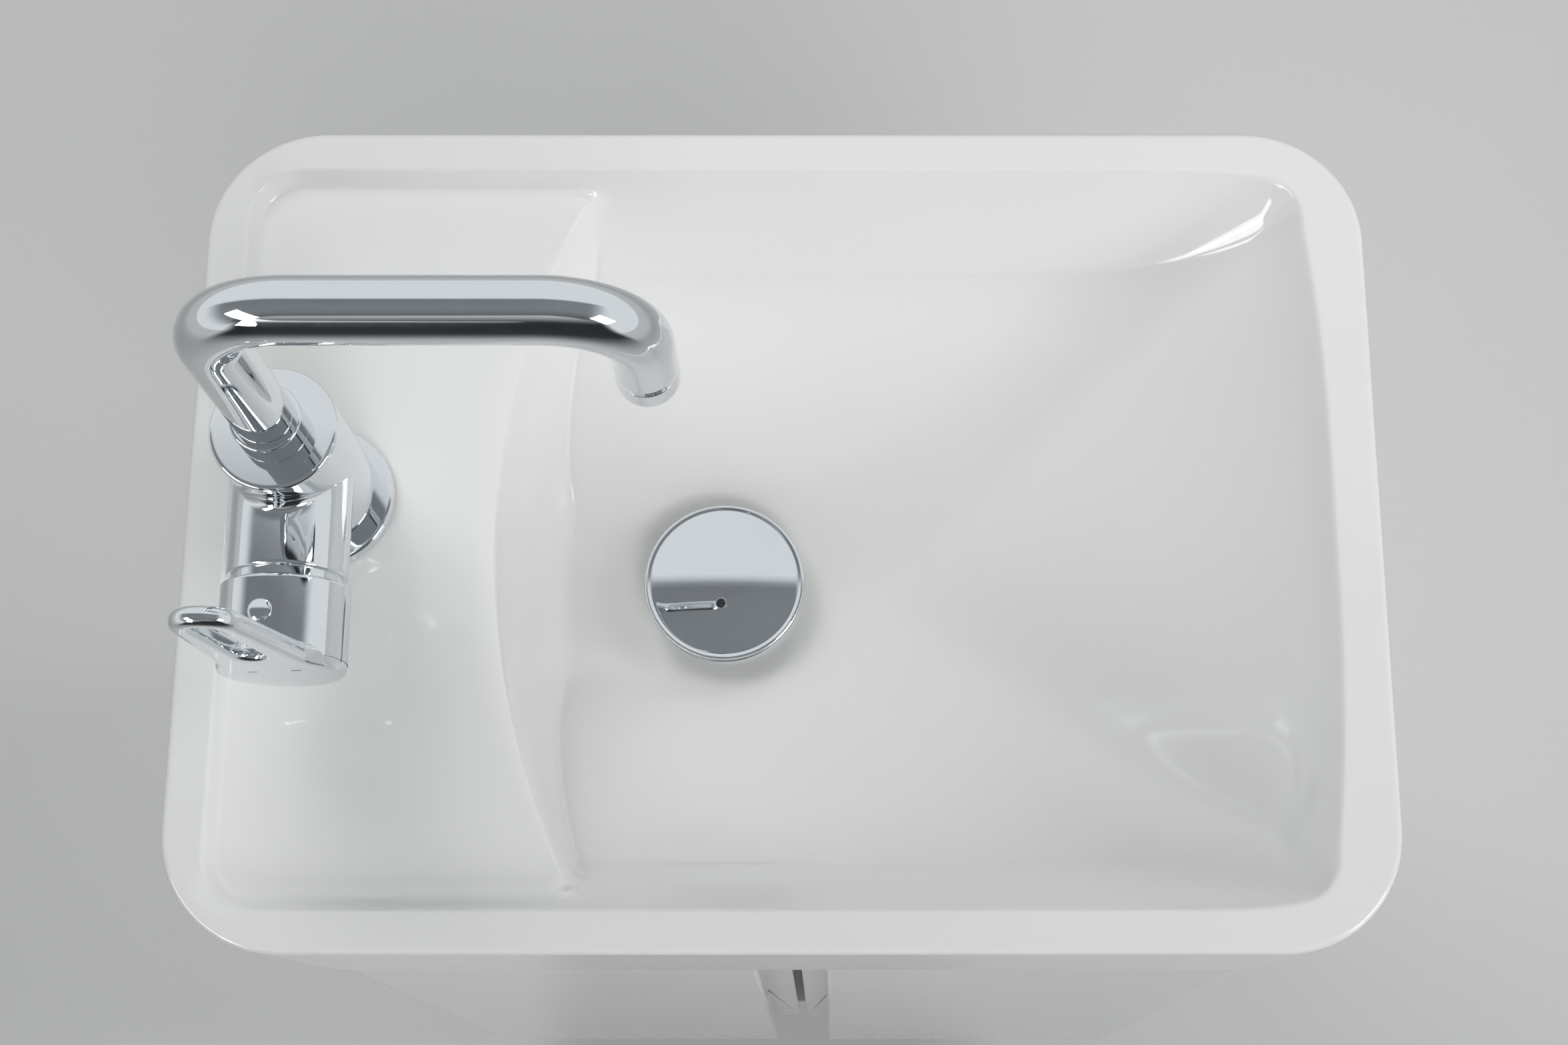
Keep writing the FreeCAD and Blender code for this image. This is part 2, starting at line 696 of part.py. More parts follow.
def hinges(screws):
    """Pivot hinges: a leaf let into each end of a side panel, with a pin that stands in the door's bush."""
    leaves, pins, bushes = [], [], []
    upper_low = f"{CABINET_TOP} - leaf_thickness"
    for name, low, pin_low, bush_low in (
            ("upper", upper_low, f"{DOOR_HIGH} - pin_bite", f"{DOOR_HIGH} - bush_length"),
            ("lower", "leg_height", "leg_height", DOOR_LOW)):
        plate = box(f"{name}_leaf_plate", (f"{PIVOT_X} - leaf_width / 2", f"{PIVOT_X} + leaf_width / 2"),
                    (PIVOT_Y, f"{PIVOT_Y} + leaf_tail"), (low, f"{low} + leaf_thickness"))
        nose = rod(f"{name}_leaf_nose", "leaf_width / 2", "leaf_thickness", (PIVOT_X, PIVOT_Y, low))
        pin = rod(f"{name}_hinge_pin", "pin_radius", "leaf_thickness + hinge_gap + pin_bite",
                  (PIVOT_X, PIVOT_Y, pin_low))
        leaves.append(cut(f"{name}_leaf", joined(f"{name}_leaf_blank", plate, nose), pin, screws))
        pins.append(pin)
        bushes.append(tube(f"{name}_bush", "bush_radius", "pin_radius + running_clearance", "bush_length",
                           (PIVOT_X, PIVOT_Y, bush_low)))
    for name, items in {"hinge_leaves": leaves, "hinge_pins": pins}.items():
        left = group(f"{name}_left", *items)
        subpart(group(name, left, mirrored(f"{name}_right", left)))
    left = subpart(group("door_bushes_left", *bushes))
    subpart(mirrored("door_bushes_right", left))


def doors():
    """A full overlay door with an undercut grip edge, and the recessed strip behind that edge."""
    height = f"({DOOR_HIGH} - {DOOR_LOW})"
    width = f"({DOOR_OUT} - grip_gap / 2)"
    plan = [("0", "0"), (width, "0"), (f"{width} - edge_undercut", "door_thickness"), ("0", "door_thickness")]
    blank = extruded("door_blank", plan, height, (f"-{DOOR_OUT}", DOOR_FRONT, DOOR_LOW))
    soft_front = rounded("door_soft_front", blank, "door_front_round",
                         upright_at((f"-{DOOR_OUT}", DOOR_FRONT), ("-grip_gap / 2", DOOR_FRONT)))
    soft = rounded("door_soft", soft_front, "door_back_round", upright_at((f"-{DOOR_OUT}", DOOR_BACK)))
    holes = [rod(f"{name}_bush_hole", "bush_radius", "bush_length + cut_overrun", (PIVOT_X, PIVOT_Y, low))
             for name, low in {"upper": f"{DOOR_HIGH} - bush_length",
                               "lower": f"{DOOR_LOW} - cut_overrun"}.items()]
    strip_inner = "(strip_slot / 2)"
    strip_outer = "(grip_gap / 2 + strip_overlap)"
    strip = box("strip_blank", (f"-{strip_outer}", f"-{strip_inner}"),
                (DOOR_BACK, f"{DOOR_BACK} + strip_thickness"), (DOOR_LOW, DOOR_HIGH))
    screw_x = "(edge_undercut + grip_gap + strip_overlap) / -2"
    screw_tip = f"{DOOR_BACK} + strip_thickness - screw_length"
    heights = {"top": f"{DOOR_HIGH} - strip_screw_inset", "middle": f"({DOOR_LOW} + {DOOR_HIGH}) / 2",
               "bottom": f"{DOOR_LOW} + strip_screw_inset"}
    screws = group("strip_screws_left", *[screw(f"strip_screw_{name}", (screw_x, screw_tip, z), TO_WALL)
                                          for name, z in heights.items()])
    subpart(screws)
    pieces = {"door_panel": subpart(cut("door_panel_left", soft, *holes, screws)),
              "grip_strip": subpart(cut("grip_strip_left", strip, screws)), "strip_screws": screws}
    for name, item in pieces.items():
        subpart(mirrored(f"{name}_right", item))


def tap_body():
    """Column and side housing in one casting, with its base ring, seal and fixings under the ledge."""
    axis = (TAP_X, TAP_Y)
    subpart(tube("tap_base_seal", "base_seal_radius", "tap_hole_radius", "base_seal_thickness",
                 (*axis, LEDGE)))
    subpart(tube("tap_base_ring", "base_ring_radius", "base_ring_bore", "base_ring_height",
                 (*axis, f"{LEDGE} + base_seal_thickness")))
    edge = "tap_edge"
    profile = [("0", "0"), ("tap_body_radius", "0"), ("tap_body_radius", f"tap_body_height - {edge}"),
               (f"tap_body_radius - {edge}", "tap_body_height"), ("0", "tap_body_height")]
    column = turned("tap_column", profile, (*axis, BODY_LOW))
    housing = rod("tap_housing", "housing_radius", "housing_reach", (*axis, CARTRIDGE_Z), TO_FRONT)
    chamber = rod("cartridge_chamber", "chamber_radius", "chamber_depth + cut_overrun",
                  (TAP_X, f"{HOUSING_FRONT} - cut_overrun", CARTRIDGE_Z), TO_WALL)
    socket = rod("sleeve_socket", "sleeve_radius", "sleeve_length + cut_overrun",
                 (*axis, f"{BODY_HIGH} - sleeve_length"))
    waterway = rod("spout_waterway", "waterway_radius", f"{BODY_HIGH} - {CARTRIDGE_Z}",
                   (*axis, CARTRIDGE_Z))
    stud = rod("tap_stud", "stud_radius", "stud_length",
               (TAP_X, f"{TAP_Y} + stud_back", f"{BODY_LOW} + stud_bite - stud_length"))
    bores = []
    for name, sign in {"hot": "-", "cold": "+"}.items():
        at = (f"{TAP_X} {sign} inlet_spread / 2", f"{TAP_Y} - inlet_forward")
        bores.append(rod(f"{name}_inlet", "inlet_radius", "inlet_depth + cut_overrun",
                         (*at, f"{BODY_LOW} - cut_overrun")))
        bores.append(rod(f"{name}_feed", "feed_radius", "housing_height", (*at, BODY_LOW)))
    casting = joined("tap_casting", column, housing)
    subpart(cut("tap_body", casting, chamber, socket, waterway, stud, *bores))
    subpart(stud)

    washer_low = f"({DECK_UNDERSIDE} - washer_thickness)"
    disc = rod("washer_disc", "washer_radius", "washer_thickness", (*axis, washer_low))
    mouth = box("washer_mouth", (f"{TAP_X} - inlet_spread / 2 - inlet_radius",
                                 f"{TAP_X} + inlet_spread / 2 + inlet_radius"),
                (f"{TAP_Y} - washer_radius - cut_overrun", f"{TAP_Y} - inlet_forward + inlet_radius"),
                (f"{washer_low} - cut_overrun", f"{DECK_UNDERSIDE} + cut_overrun"))
    subpart(cut("tap_washer", disc, mouth, stud))
    nut_place = (TAP_X, f"{TAP_Y} + stud_back", f"{washer_low} - stud_nut_height")
    nut = hexagon("tap_nut_blank", "stud_nut_radius", "stud_nut_height", nut_place)
    subpart(cut("tap_nut", nut, stud))


def in_lever_frame(item):
    """Sets a piece made about the cartridge's axis in its place, leaning to the left with the lever."""
    placed(item, (TAP_X, TAP_Y, CARTRIDGE_Z), Rotation(TO_FRONT, value("lever_lean")))
    item.setExpression("Placement.Rotation.Angle", bound("lever_lean"))
    return subpart(item)


def cartridge():
    """Fixed cartridge, its nut and the groove ring, and the head that turns in them with the lift pin."""
    front = (TAP_X, HOUSING_FRONT, CARTRIDGE_Z)
    pocket = "lift_pivot_depth + head_length / 2 + head_gap"
    profile = [("0", pocket), ("head_radius + head_gap", pocket),
               ("head_radius + head_gap", "cartridge_nut_length"), ("chamber_radius", "cartridge_nut_length"),
               ("chamber_radius", "chamber_depth"), ("0", "chamber_depth")]
    subpart(turned("cartridge", profile, front, TO_WALL))
    bore = "cartridge_nut_bore"
    subpart(tube("cartridge_nut", "chamber_radius", bore, "cartridge_nut_length", front, TO_WALL))
    subpart(tube("groove_ring", "groove_ring_radius", bore, "groove_ring_length", front, TO_FRONT))

    pivot_y = "(lift_pivot_depth - housing_reach)"
    head = rod("head_disc", "head_radius", "head_length",
               ("0", f"{pivot_y} + head_length / 2", "0"), TO_FRONT)
    slot_width = "(lever_stem_width + 2 * lever_stem_gap)"
    slot = box("head_slot", (f"-{slot_width} / 2", f"{slot_width} / 2"),
               (f"{pivot_y} - head_length", f"{pivot_y} + head_length"),
               ("-lift_slot_height / 2", "lift_slot_height / 2"))
    pin = rod("lift_pin_shape", "lift_pin_radius", "lift_pin_length",
              ("-lift_pin_length / 2", pivot_y, "0"), RIGHT)
    in_lever_frame(cut("cartridge_head", head, slot, pin))
    in_lever_frame(group("lift_pin", pin))

    stem_end = "-(housing_reach + groove_width + cap_bore_depth + lever_stem_bite)"
    stem = box("stem_bar", ("-lever_stem_width / 2", "lever_stem_width / 2"),
               (stem_end, f"{pivot_y} + lever_stem_tail"), ("-lever_stem_width / 2", "lever_stem_width / 2"))
    eye = rod("stem_eye", "lift_pin_radius + running_clearance", "lever_stem_width + 2 * cut_overrun",
              ("-lever_stem_width / 2 - cut_overrun", pivot_y, "0"), RIGHT)
    in_lever_frame(cut("lever_stem", stem, eye))
    return stem


def lever(stem):
    """Cap over the cartridge with a flat loop lever rising from its end face, and the small parts on it."""
    back = "(housing_reach + groove_width)"
    end = f"({back} + cap_length)"
    profile = [("cap_bore", "0"), ("cap_radius", "0"), ("cap_radius", "cap_length"), ("0", "cap_length"),
               ("0", "cap_bore_depth"), ("cap_bore", "cap_bore_depth")]
    cap = turned("lever_cap", profile, ("0", f"-{back}", "0"), TO_FRONT)
    plate_y = f"lever_thickness - {end}"
    tip_z = "(lever_reach - lever_tip_width / 2)"
    to_upright = Rotation(RIGHT, QUARTER_TURN)
    plate = extruded("lever_plate", [("0", "0"), ("lever_root_width", "0"),
                                     ("(lever_root_width + lever_tip_width) / 2", tip_z),
                                     ("(lever_root_width - lever_tip_width) / 2", tip_z)],
                     "lever_thickness", ("-lever_root_width / 2", plate_y, "0"), to_upright)
    tip = rod("lever_tip", "lever_tip_width / 2", "lever_thickness", ("0", plate_y, tip_z), TO_FRONT)
    slot_y = (f"-{end} - cut_overrun", f"{plate_y} + cut_overrun")
    slot_length = "lever_thickness + 2 * cut_overrun"
    slot = [box("lever_slot", ("-lever_slot_width / 2", "lever_slot_width / 2"), slot_y,
                ("lever_slot_foot", "lever_slot_head"))]
    for name in ("lever_slot_foot", "lever_slot_head"):
        end_place = ("0", slot_y[1], name)
        slot.append(rod(f"{name}_round", "lever_slot_width / 2", slot_length, end_place, TO_FRONT))
    grub_y = f"-{back} - grub_setback"
    grub_top = "lever_stem_width / 2 + grub_length"
    grub = rod("grub", "grub_radius", "grub_length", ("0", grub_y, "lever_stem_width / 2"))
    access = rod("grub_access", "grub_radius", "cap_radius", ("0", grub_y, "lever_stem_width / 2"))
    plug_low = "(cap_radius - plug_length)"
    plug_seat = rod("plug_seat", "plug_radius", "plug_length + cut_overrun", ("0", grub_y, plug_low))
    plug = rod("plug_disc", "plug_radius", "plug_length", ("0", grub_y, plug_low))
    marks = {}
    for name, sign in {"hot_mark": "-", "cold_mark": ""}.items():
        x = f"({sign}mark_spread / 2)"
        marks[name] = box(f"{name}_inlay", (f"{x} - mark_width / 2", f"{x} + mark_width / 2"),
                          (f"-{end}", f"mark_depth - {end}"),
                          ("mark_rise - mark_height / 2", "mark_rise + mark_height / 2"))
    in_lever_frame(cut("lever", joined("lever_blank", cap, plate, tip), *slot, stem, access, plug_seat,
                       *marks.values()))
    in_lever_frame(group("lever_grub_screw", grub))
    in_lever_frame(group("lever_screw_plug", plug))
    for name, inlay in marks.items():
        in_lever_frame(group(name, inlay))


def spout_run(name, radius, low):
    """A round bar along the spout's axis: up, over to the right and down to the aerator."""
    bends = []
    for end, centre_x, across, along in (("first", f"{TAP_X} + spout_bend", -RIGHT, UP),
                                         ("last", f"{OUTLET_X} - spout_bend", UP, RIGHT)):
        bend = doc.addObject("Part::Torus", f"{name}_{end}_bend")
        bend.setExpression("Radius1", bound("spout_bend"))
        bend.setExpression("Radius2", bound(radius))
        bend.Angle3 = QUARTER_TURN
        bends.append(placed(bend, (centre_x, TAP_Y, f"{SPOUT_AXIS_Z} - spout_bend"),
                            Rotation(across, along, across.cross(along), "XYZ")))
    rise = rod(f"{name}_rise", radius, f"{SPOUT_AXIS_Z} - spout_bend - ({low})", (TAP_X, TAP_Y, low))
    run = rod(f"{name}_run", radius, "spout_reach - 2 * spout_bend",
              (f"{TAP_X} + spout_bend", TAP_Y, SPOUT_AXIS_Z), RIGHT)
    drop = rod(f"{name}_drop", radius, "spout_drop - spout_bend - aerator_length",
               (OUTLET_X, TAP_Y, f"{OUTLET_LOW} + aerator_length"))
    return joined(name, rise, run, drop, *bends)


def spout():
    """Swivel spout in its bearing sleeve and collar, with the aerator at its mouth."""
    axis = (TAP_X, TAP_Y)
    running_bore = "spout_radius + running_clearance"
    subpart(tube("spout_bearing", "sleeve_radius", running_bore, "sleeve_length",
                 (*axis, f"{BODY_HIGH} - sleeve_length")))
    subpart(tube("spout_collar", "collar_radius", running_bore, "collar_height", (*axis, BODY_HIGH)))
    low = f"{BODY_HIGH} - sleeve_length + spout_foot_gap"
    outside = spout_run("spout_outside", "spout_radius", low)
    subpart(cut("spout", outside, spout_run("spout_inside", "spout_bore", low)))
    subpart(tube("aerator_housing", "spout_radius", "spout_bore", "aerator_length",
                 (OUTLET_X, TAP_Y, OUTLET_LOW)))
    insert_low = f"({OUTLET_LOW} + (aerator_length - aerator_insert_length) / 2)"
    disc = rod("aerator_disc", "spout_bore", "aerator_insert_length", (OUTLET_X, TAP_Y, insert_low))
    holes = []
    for turn in range(0, FULL_TURN, FULL_TURN // 8):
        at = (f"{OUTLET_X} + aerator_hole_circle * cos({turn})",
              f"{TAP_Y} + aerator_hole_circle * sin({turn})", f"{insert_low} - cut_overrun")
        holes.append(rod(f"aerator_hole_{turn}", "aerator_hole_radius",
                         "aerator_insert_length + 2 * cut_overrun", at))
    subpart(cut("aerator_insert", disc, *holes))


def waste():
    """Push waste: flanged body clamped through the basin, its guide, and the sliding plug, here raised."""
    axis = (DRAIN_X, "0")
    flange_low = "(waste_tube_length - waste_flange_thickness)"
    profile = [("waste_bore", "0"), ("waste_tube_radius", "0"), ("waste_tube_radius", flange_low),
               ("waste_flange_radius", flange_low), ("waste_flange_radius", "waste_tube_length"),
               ("waste_bore", "waste_tube_length")]
    subpart(turned("waste_body", profile, (*axis, WASTE_LOW)))
    subpart(tube("waste_top_seal", "waste_flange_radius", "waste_tube_radius", "waste_seal_thickness",
                 (*axis, BOWL_FLOOR)))
    washer_low = f"({CABINET_TOP} - waste_washer_thickness)"
    subpart(tube("waste_lower_seal", "waste_washer_radius", "waste_tube_radius", "waste_washer_thickness",
                 (*axis, washer_low)))
    nut_low = f"{washer_low} - waste_nut_height"
    nut = hexagon("waste_nut_blank", "waste_nut_radius", "waste_nut_height", (*axis, nut_low))
    nut_bore = rod("waste_nut_bore", "waste_tube_radius", "waste_nut_height + 2 * cut_overrun",
                   (*axis, f"{nut_low} - cut_overrun"))
    subpart(cut("waste_nut", nut, nut_bore))
    ring = tube("guide_ring", "waste_bore", "waste_bore - guide_wall", "guide_height", (*axis, GUIDE_LOW))
    hub = rod("guide_hub", "guide_hub_radius", "guide_height", (*axis, GUIDE_LOW))
    reach = "(waste_bore - guide_wall / 2)"
    zs = (GUIDE_LOW, f"{GUIDE_LOW} + guide_height")
    arms = [box("guide_arm_across", (f"{DRAIN_X} - {reach}", f"{DRAIN_X} + {reach}"),
                ("-guide_arm_width / 2", "guide_arm_width / 2"), zs),
            box("guide_arm_along", (f"{DRAIN_X} - guide_arm_width / 2", f"{DRAIN_X} + guide_arm_width / 2"),
                (f"-{reach}", reach), zs)]
    bore = rod("guide_bore", "plug_stem_radius + running_clearance", "guide_height + 2 * cut_overrun",
               (*axis, f"{GUIDE_LOW} - cut_overrun"))
    subpart(cut("waste_guide", joined("guide_blank", ring, hub, *arms), bore))

    stem_length = f"({PLUG_CAP_LOW} - {GUIDE_LOW})"
    subpart(rod("plug_stem", "plug_stem_radius", stem_length, (*axis, GUIDE_LOW)))
    subpart(tube("plug_seal", "plug_seal_outer", "plug_seal_inner", "plug_seal_thickness",
                 (*axis, PLUG_SEAL_LOW)))
    dome_radius = "(plug_cap_radius * plug_cap_radius / plug_cap_crown / 2 + plug_cap_crown / 2)"
    edge = rod("plug_cap_disc", "plug_cap_radius", "plug_cap_edge + plug_cap_crown", (*axis, PLUG_CAP_LOW))
    ball = doc.addObject("Part::Sphere", "plug_cap_ball")
    ball.setExpression("Radius", bound(dome_radius))
    placed(ball, (*axis, f"{PLUG_CAP_LOW} + plug_cap_edge + plug_cap_crown - {dome_radius}"))
    cap = doc.addObject("Part::MultiCommon", "plug_cap")
    cap.Shapes = [edge, ball]
    subpart(cap)


def trap():
    """Bottle trap under the waste, with its screw cup and the outlet pipe to the wall."""
    axis = (DRAIN_X, "0")
    neck_low = "trap_bottle_length"
    flange_low = "trap_bottle_length + trap_neck_length"
    roof = "trap_bottle_length - trap_wall"
    inside = "trap_bottle_radius - trap_wall"
    shell_profile = [(inside, "0"), ("trap_bottle_radius", "0"), ("trap_bottle_radius", neck_low),
                     ("trap_neck_radius", neck_low), ("trap_neck_radius", flange_low),
                     ("trap_neck_flange_radius", flange_low), ("trap_neck_flange_radius", TRAP_HEIGHT),
                     ("trap_neck_bore", TRAP_HEIGHT), ("trap_neck_bore", roof), (inside, roof)]
    shell = turned("trap_shell", shell_profile, (*axis, TRAP_LOW))
    stub = tube("trap_stub", "trap_stub_radius", "outlet_pipe_bore", f"trap_stub_reach - ({inside})",
                (DRAIN_X, inside, OUTLET_PIPE_Z), TO_WALL)
    mouth = rod("trap_mouth", "outlet_pipe_bore", "trap_stub_reach", (DRAIN_X, "0", OUTLET_PIPE_Z), TO_WALL)
    pipe_start = "(trap_stub_reach - outlet_pipe_bite)"
    pipe_length = f"{CARCASS_BACK} - {pipe_start}"
    socket = rod("trap_pipe_socket", "outlet_pipe_radius", "outlet_pipe_bite + cut_overrun",
                 (DRAIN_X, pipe_start, OUTLET_PIPE_Z), TO_WALL)
    inner = rod("trap_inner", inside, f"{roof} + cut_overrun", (*axis, f"{TRAP_LOW} - cut_overrun"))
    subpart(cut("trap_body", joined("trap_blank", shell, stub), mouth, socket, inner))
    lip = "trap_nut_lip"
    nut_profile = [("trap_neck_radius", "0"), ("trap_nut_radius", "0"),
                   ("trap_nut_radius", "trap_nut_height"), ("waste_tube_radius", "trap_nut_height"),
                   ("waste_tube_radius", lip), ("trap_neck_radius", lip)]
    nut_low = f"{WASTE_LOW} - trap_neck_flange_thickness - {lip}"
    subpart(turned("trap_inlet_nut", nut_profile, (*axis, nut_low)))
    cup_rim = "trap_cup_length - trap_cup_rim"
    cup_inside = "trap_cup_radius - trap_wall"
    cup_profile = [("0", "0"), ("trap_cup_radius", "0"), ("trap_cup_radius", cup_rim),
                   ("trap_bottle_radius", cup_rim), ("trap_bottle_radius", "trap_cup_length"),
                   (cup_inside, "trap_cup_length"), (cup_inside, "trap_wall"), ("0", "trap_wall")]
    subpart(turned("trap_cup", cup_profile, (*axis, f"{TRAP_LOW} - trap_cup_length")))
    nut_body = "outlet_nut_length - outlet_nut_lip"
    outlet_profile = [("trap_stub_radius", "0"), ("outlet_nut_radius", "0"),
                      ("outlet_nut_radius", "outlet_nut_length"), ("outlet_pipe_radius", "outlet_nut_length"),
                      ("outlet_pipe_radius", nut_body), ("trap_stub_radius", nut_body)]
    subpart(turned("trap_outlet_nut", outlet_profile,
                   (DRAIN_X, f"trap_stub_reach - ({nut_body})", OUTLET_PIPE_Z), TO_WALL))
    bead_end = f"{pipe_length} - outlet_spigot_length"
    bead_start = f"{bead_end} - outlet_bead_width"
    pipe_profile = [("outlet_pipe_bore", "0"), ("outlet_pipe_radius", "0"),
                    ("outlet_pipe_radius", bead_start), ("outlet_bead_radius", bead_start),
                    ("outlet_bead_radius", bead_end),
                    ("outlet_pipe_radius", bead_end), ("outlet_pipe_radius", pipe_length),
                    ("outlet_pipe_bore", pipe_length)]
    subpart(turned("trap_outlet_pipe", pipe_profile, (DRAIN_X, pipe_start, OUTLET_PIPE_Z), TO_WALL))


def write_parts():
    """Checks each object and each piece's shape, then writes the pieces."""
    doc.recompute()
    for item in doc.Objects:
        if "Invalid" in item.State or "Error" in item.State:
            raise RuntimeError(f"{item.Label} failed: {item.State}")
    for item in subparts:
        if item.Shape.isNull() or not item.Shape.isValid() or not item.Shape.Solids:
            raise RuntimeError(f"{item.Label} has no valid solid")
    os.makedirs("parts", exist_ok=True)
    for item in subparts:
        item.Shape.exportStep(f"parts/{item.Label}.step")
    print(len(subparts), "pieces")


def main():
    fill_sheet()
    for piece in basin():
        subpart(piece)
    leaf_screws = left_leaf_screws()
    floor_screws = leg_screws()
    carcass(left_dowels(), left_shelf_pins(), leaf_screws, floor_screws)
    legs(floor_screws)
    hinges(leaf_screws)
    doors()
    tap_body()
    lever(cartridge())
    spout()
    waste()
    trap()
    write_parts()


main()
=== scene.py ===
import math

import bmesh
import bpy
import numpy as np
from bpy.props import FloatProperty, FloatVectorProperty, PointerProperty
from bpy.types import Operator, Panel, PropertyGroup
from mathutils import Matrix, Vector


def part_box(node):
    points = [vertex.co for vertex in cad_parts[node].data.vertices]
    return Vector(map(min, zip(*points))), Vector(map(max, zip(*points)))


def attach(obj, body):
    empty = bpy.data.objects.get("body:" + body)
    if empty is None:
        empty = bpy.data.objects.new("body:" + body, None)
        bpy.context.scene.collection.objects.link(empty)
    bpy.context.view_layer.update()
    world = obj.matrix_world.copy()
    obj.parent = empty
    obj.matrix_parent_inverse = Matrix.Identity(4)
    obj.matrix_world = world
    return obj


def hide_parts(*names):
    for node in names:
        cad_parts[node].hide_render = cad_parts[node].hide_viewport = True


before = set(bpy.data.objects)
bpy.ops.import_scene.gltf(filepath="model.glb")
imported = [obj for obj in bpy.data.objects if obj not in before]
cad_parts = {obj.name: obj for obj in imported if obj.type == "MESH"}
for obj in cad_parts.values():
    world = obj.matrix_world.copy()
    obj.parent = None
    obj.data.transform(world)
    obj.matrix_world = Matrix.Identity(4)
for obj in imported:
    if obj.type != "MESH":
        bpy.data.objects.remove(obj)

bl_info = {
    "name": "Cloakroom vanity unit",
    "version": (1, 0, 0),
    "blender": (4, 5, 0),
    "location": "View3D > Sidebar > Vanity",
    "description": "Dresses the packed vanity unit: glazed basin, chrome tap, waste cap and gloss cabinet",
    "category": "Object",
}

TAU = 2 * math.pi
QUARTER = TAU / 4
UPRIGHT = np.eye(3)
TOWARDS_ROOM = np.array([[1.0, 0.0, 0.0], [0.0, 0.0, 1.0], [0.0, -1.0, 0.0]])

# Whether a grid's rows and its columns close: a turned surface, and a ring that closes both ways
TURNED = (False, True)
RING = (True, True)

# Distances at which a grid's seams close, and at which a CAD node's loose triangles join
WELD = 2e-7
CAD_WELD = 1e-5

# Noise levels between which a finish's patches and its grain run from one end to the other
PATCH_SPAN = (0.35, 0.65)
GRAIN_SPAN = (0.3, 0.7)
NOISE_DETAIL = 3.0

# Powers of the bowl's curves: its left wall, its ramp, and how its valleys soften towards the right
LEFT_POWER = 6
RAMP_POWER = 1.5
CORNER_POWER = 3

# Columns round the basin, for each side and for each corner
SIDE_COLUMNS = 80
CORNER_COLUMNS = 33

# Rows of the basin from the rim's inner edge to the drain, back along the underside and down its foot
EDGE_ROWS = 34
LEDGE_ROWS = 10
WALL_ROWS = 60
SLOPE_ROWS = 44
HOLLOW_ROWS = 20
STAND_ROWS = 5

# Where those rows lie, in metres: the rim's flat stops short of its inner edge, then come the strip
# of that edge, the ledge, the strip of the wall, and the slopes, which stop short of the drain hole
RIM_LEAD = 0.004
EDGE_RUN = 0.014
LEAST_LEDGE = 0.0006
WALL_RUN = 0.046
DRAIN_LEAD = 0.001

# Largest share of the way from the ledge to the drain for the wall's strip, the power that crowds its
# rows towards the lip, and the share of the foot's height where the foot's first row lies
WALL_RUN_SHARE = 0.45
WALL_ROW_POWER = 1.25
STAND_START = 0.98

# Roundings of the basin's lower edge and of the drain hole's two edges, and the width of the flat
# round that hole on the underside, in metres
FOOT_EDGE = 0.0015
DRAIN_EDGES = (0.0006, 0.001)
DRAIN_SEAT = 0.017

# Reach of the eased edges on the boards, doors and strips that keep their CAD shape, in metres
EASED_EDGES = {
    "door_panel_left": 0.0008, "door_panel_right": 0.0008,
    "grip_strip_left": 0.0005, "grip_strip_right": 0.0005,
    "side_panel_left": 0.0005, "side_panel_right": 0.0005, "bottom_panel": 0.0005, "shelf": 0.0006,
    "front_rail": 0.0005, "upper_back_rail": 0.0005, "lower_back_rail": 0.0005,
}

# The camera's place, sensor and sideways shift
CAMERA_PLACE = (0.017, -0.239, 1.708)
SENSOR_WIDTH = 36.0
CAMERA_SHIFT = -0.0285

# Name of the finish for each material slot, filled by the first step
FINISH_NAMES = {}

for spare in ("Cube", "Light", "Camera"):
    if spare in bpy.data.objects:
        bpy.data.objects.remove(bpy.data.objects[spare])
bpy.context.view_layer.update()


def corners(node):
    """Lowest and highest corner of a CAD node as arrays, in metres."""
    low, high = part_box(node)
    return np.array(low, float), np.array(high, float)


BASIN_LOW, BASIN_HIGH = corners("basin")
RING_LOW, RING_HIGH = corners("tap_base_ring")
BODY_TOP = corners("tap_body")[1][2]
COLLAR_LOW, COLLAR_HIGH = corners("spout_collar")
SPOUT_TOP = corners("spout")[1][2]
AERATOR_LOW, AERATOR_HIGH = corners("aerator_housing")
GROOVE_LOW, GROOVE_HIGH = corners("groove_ring")
CAP_LOW, CAP_HIGH = corners("plug_cap")
TAP_X, TAP_Y = (RING_LOW[:2] + RING_HIGH[:2]) / 2
DRAIN_X, DRAIN_Y = (CAP_LOW[:2] + CAP_HIGH[:2]) / 2
OUTLET_X = (AERATOR_LOW[0] + AERATOR_HIGH[0]) / 2
CARTRIDGE_Z = (GROOVE_LOW[2] + GROOVE_HIGH[2]) / 2


def length(name, description, default):
    """A length property in metres."""
    return FloatProperty(name=name, description=description, default=default, unit="LENGTH", precision=4)


def number(name, description, default):
    """A plain number property."""
    return FloatProperty(name=name, description=description, default=default, precision=3)


def colour(name, description, default):
    """A colour property."""
    return FloatVectorProperty(name=name, description=description, default=default, subtype="COLOR",
                               size=3, min=0.0, max=1.0)


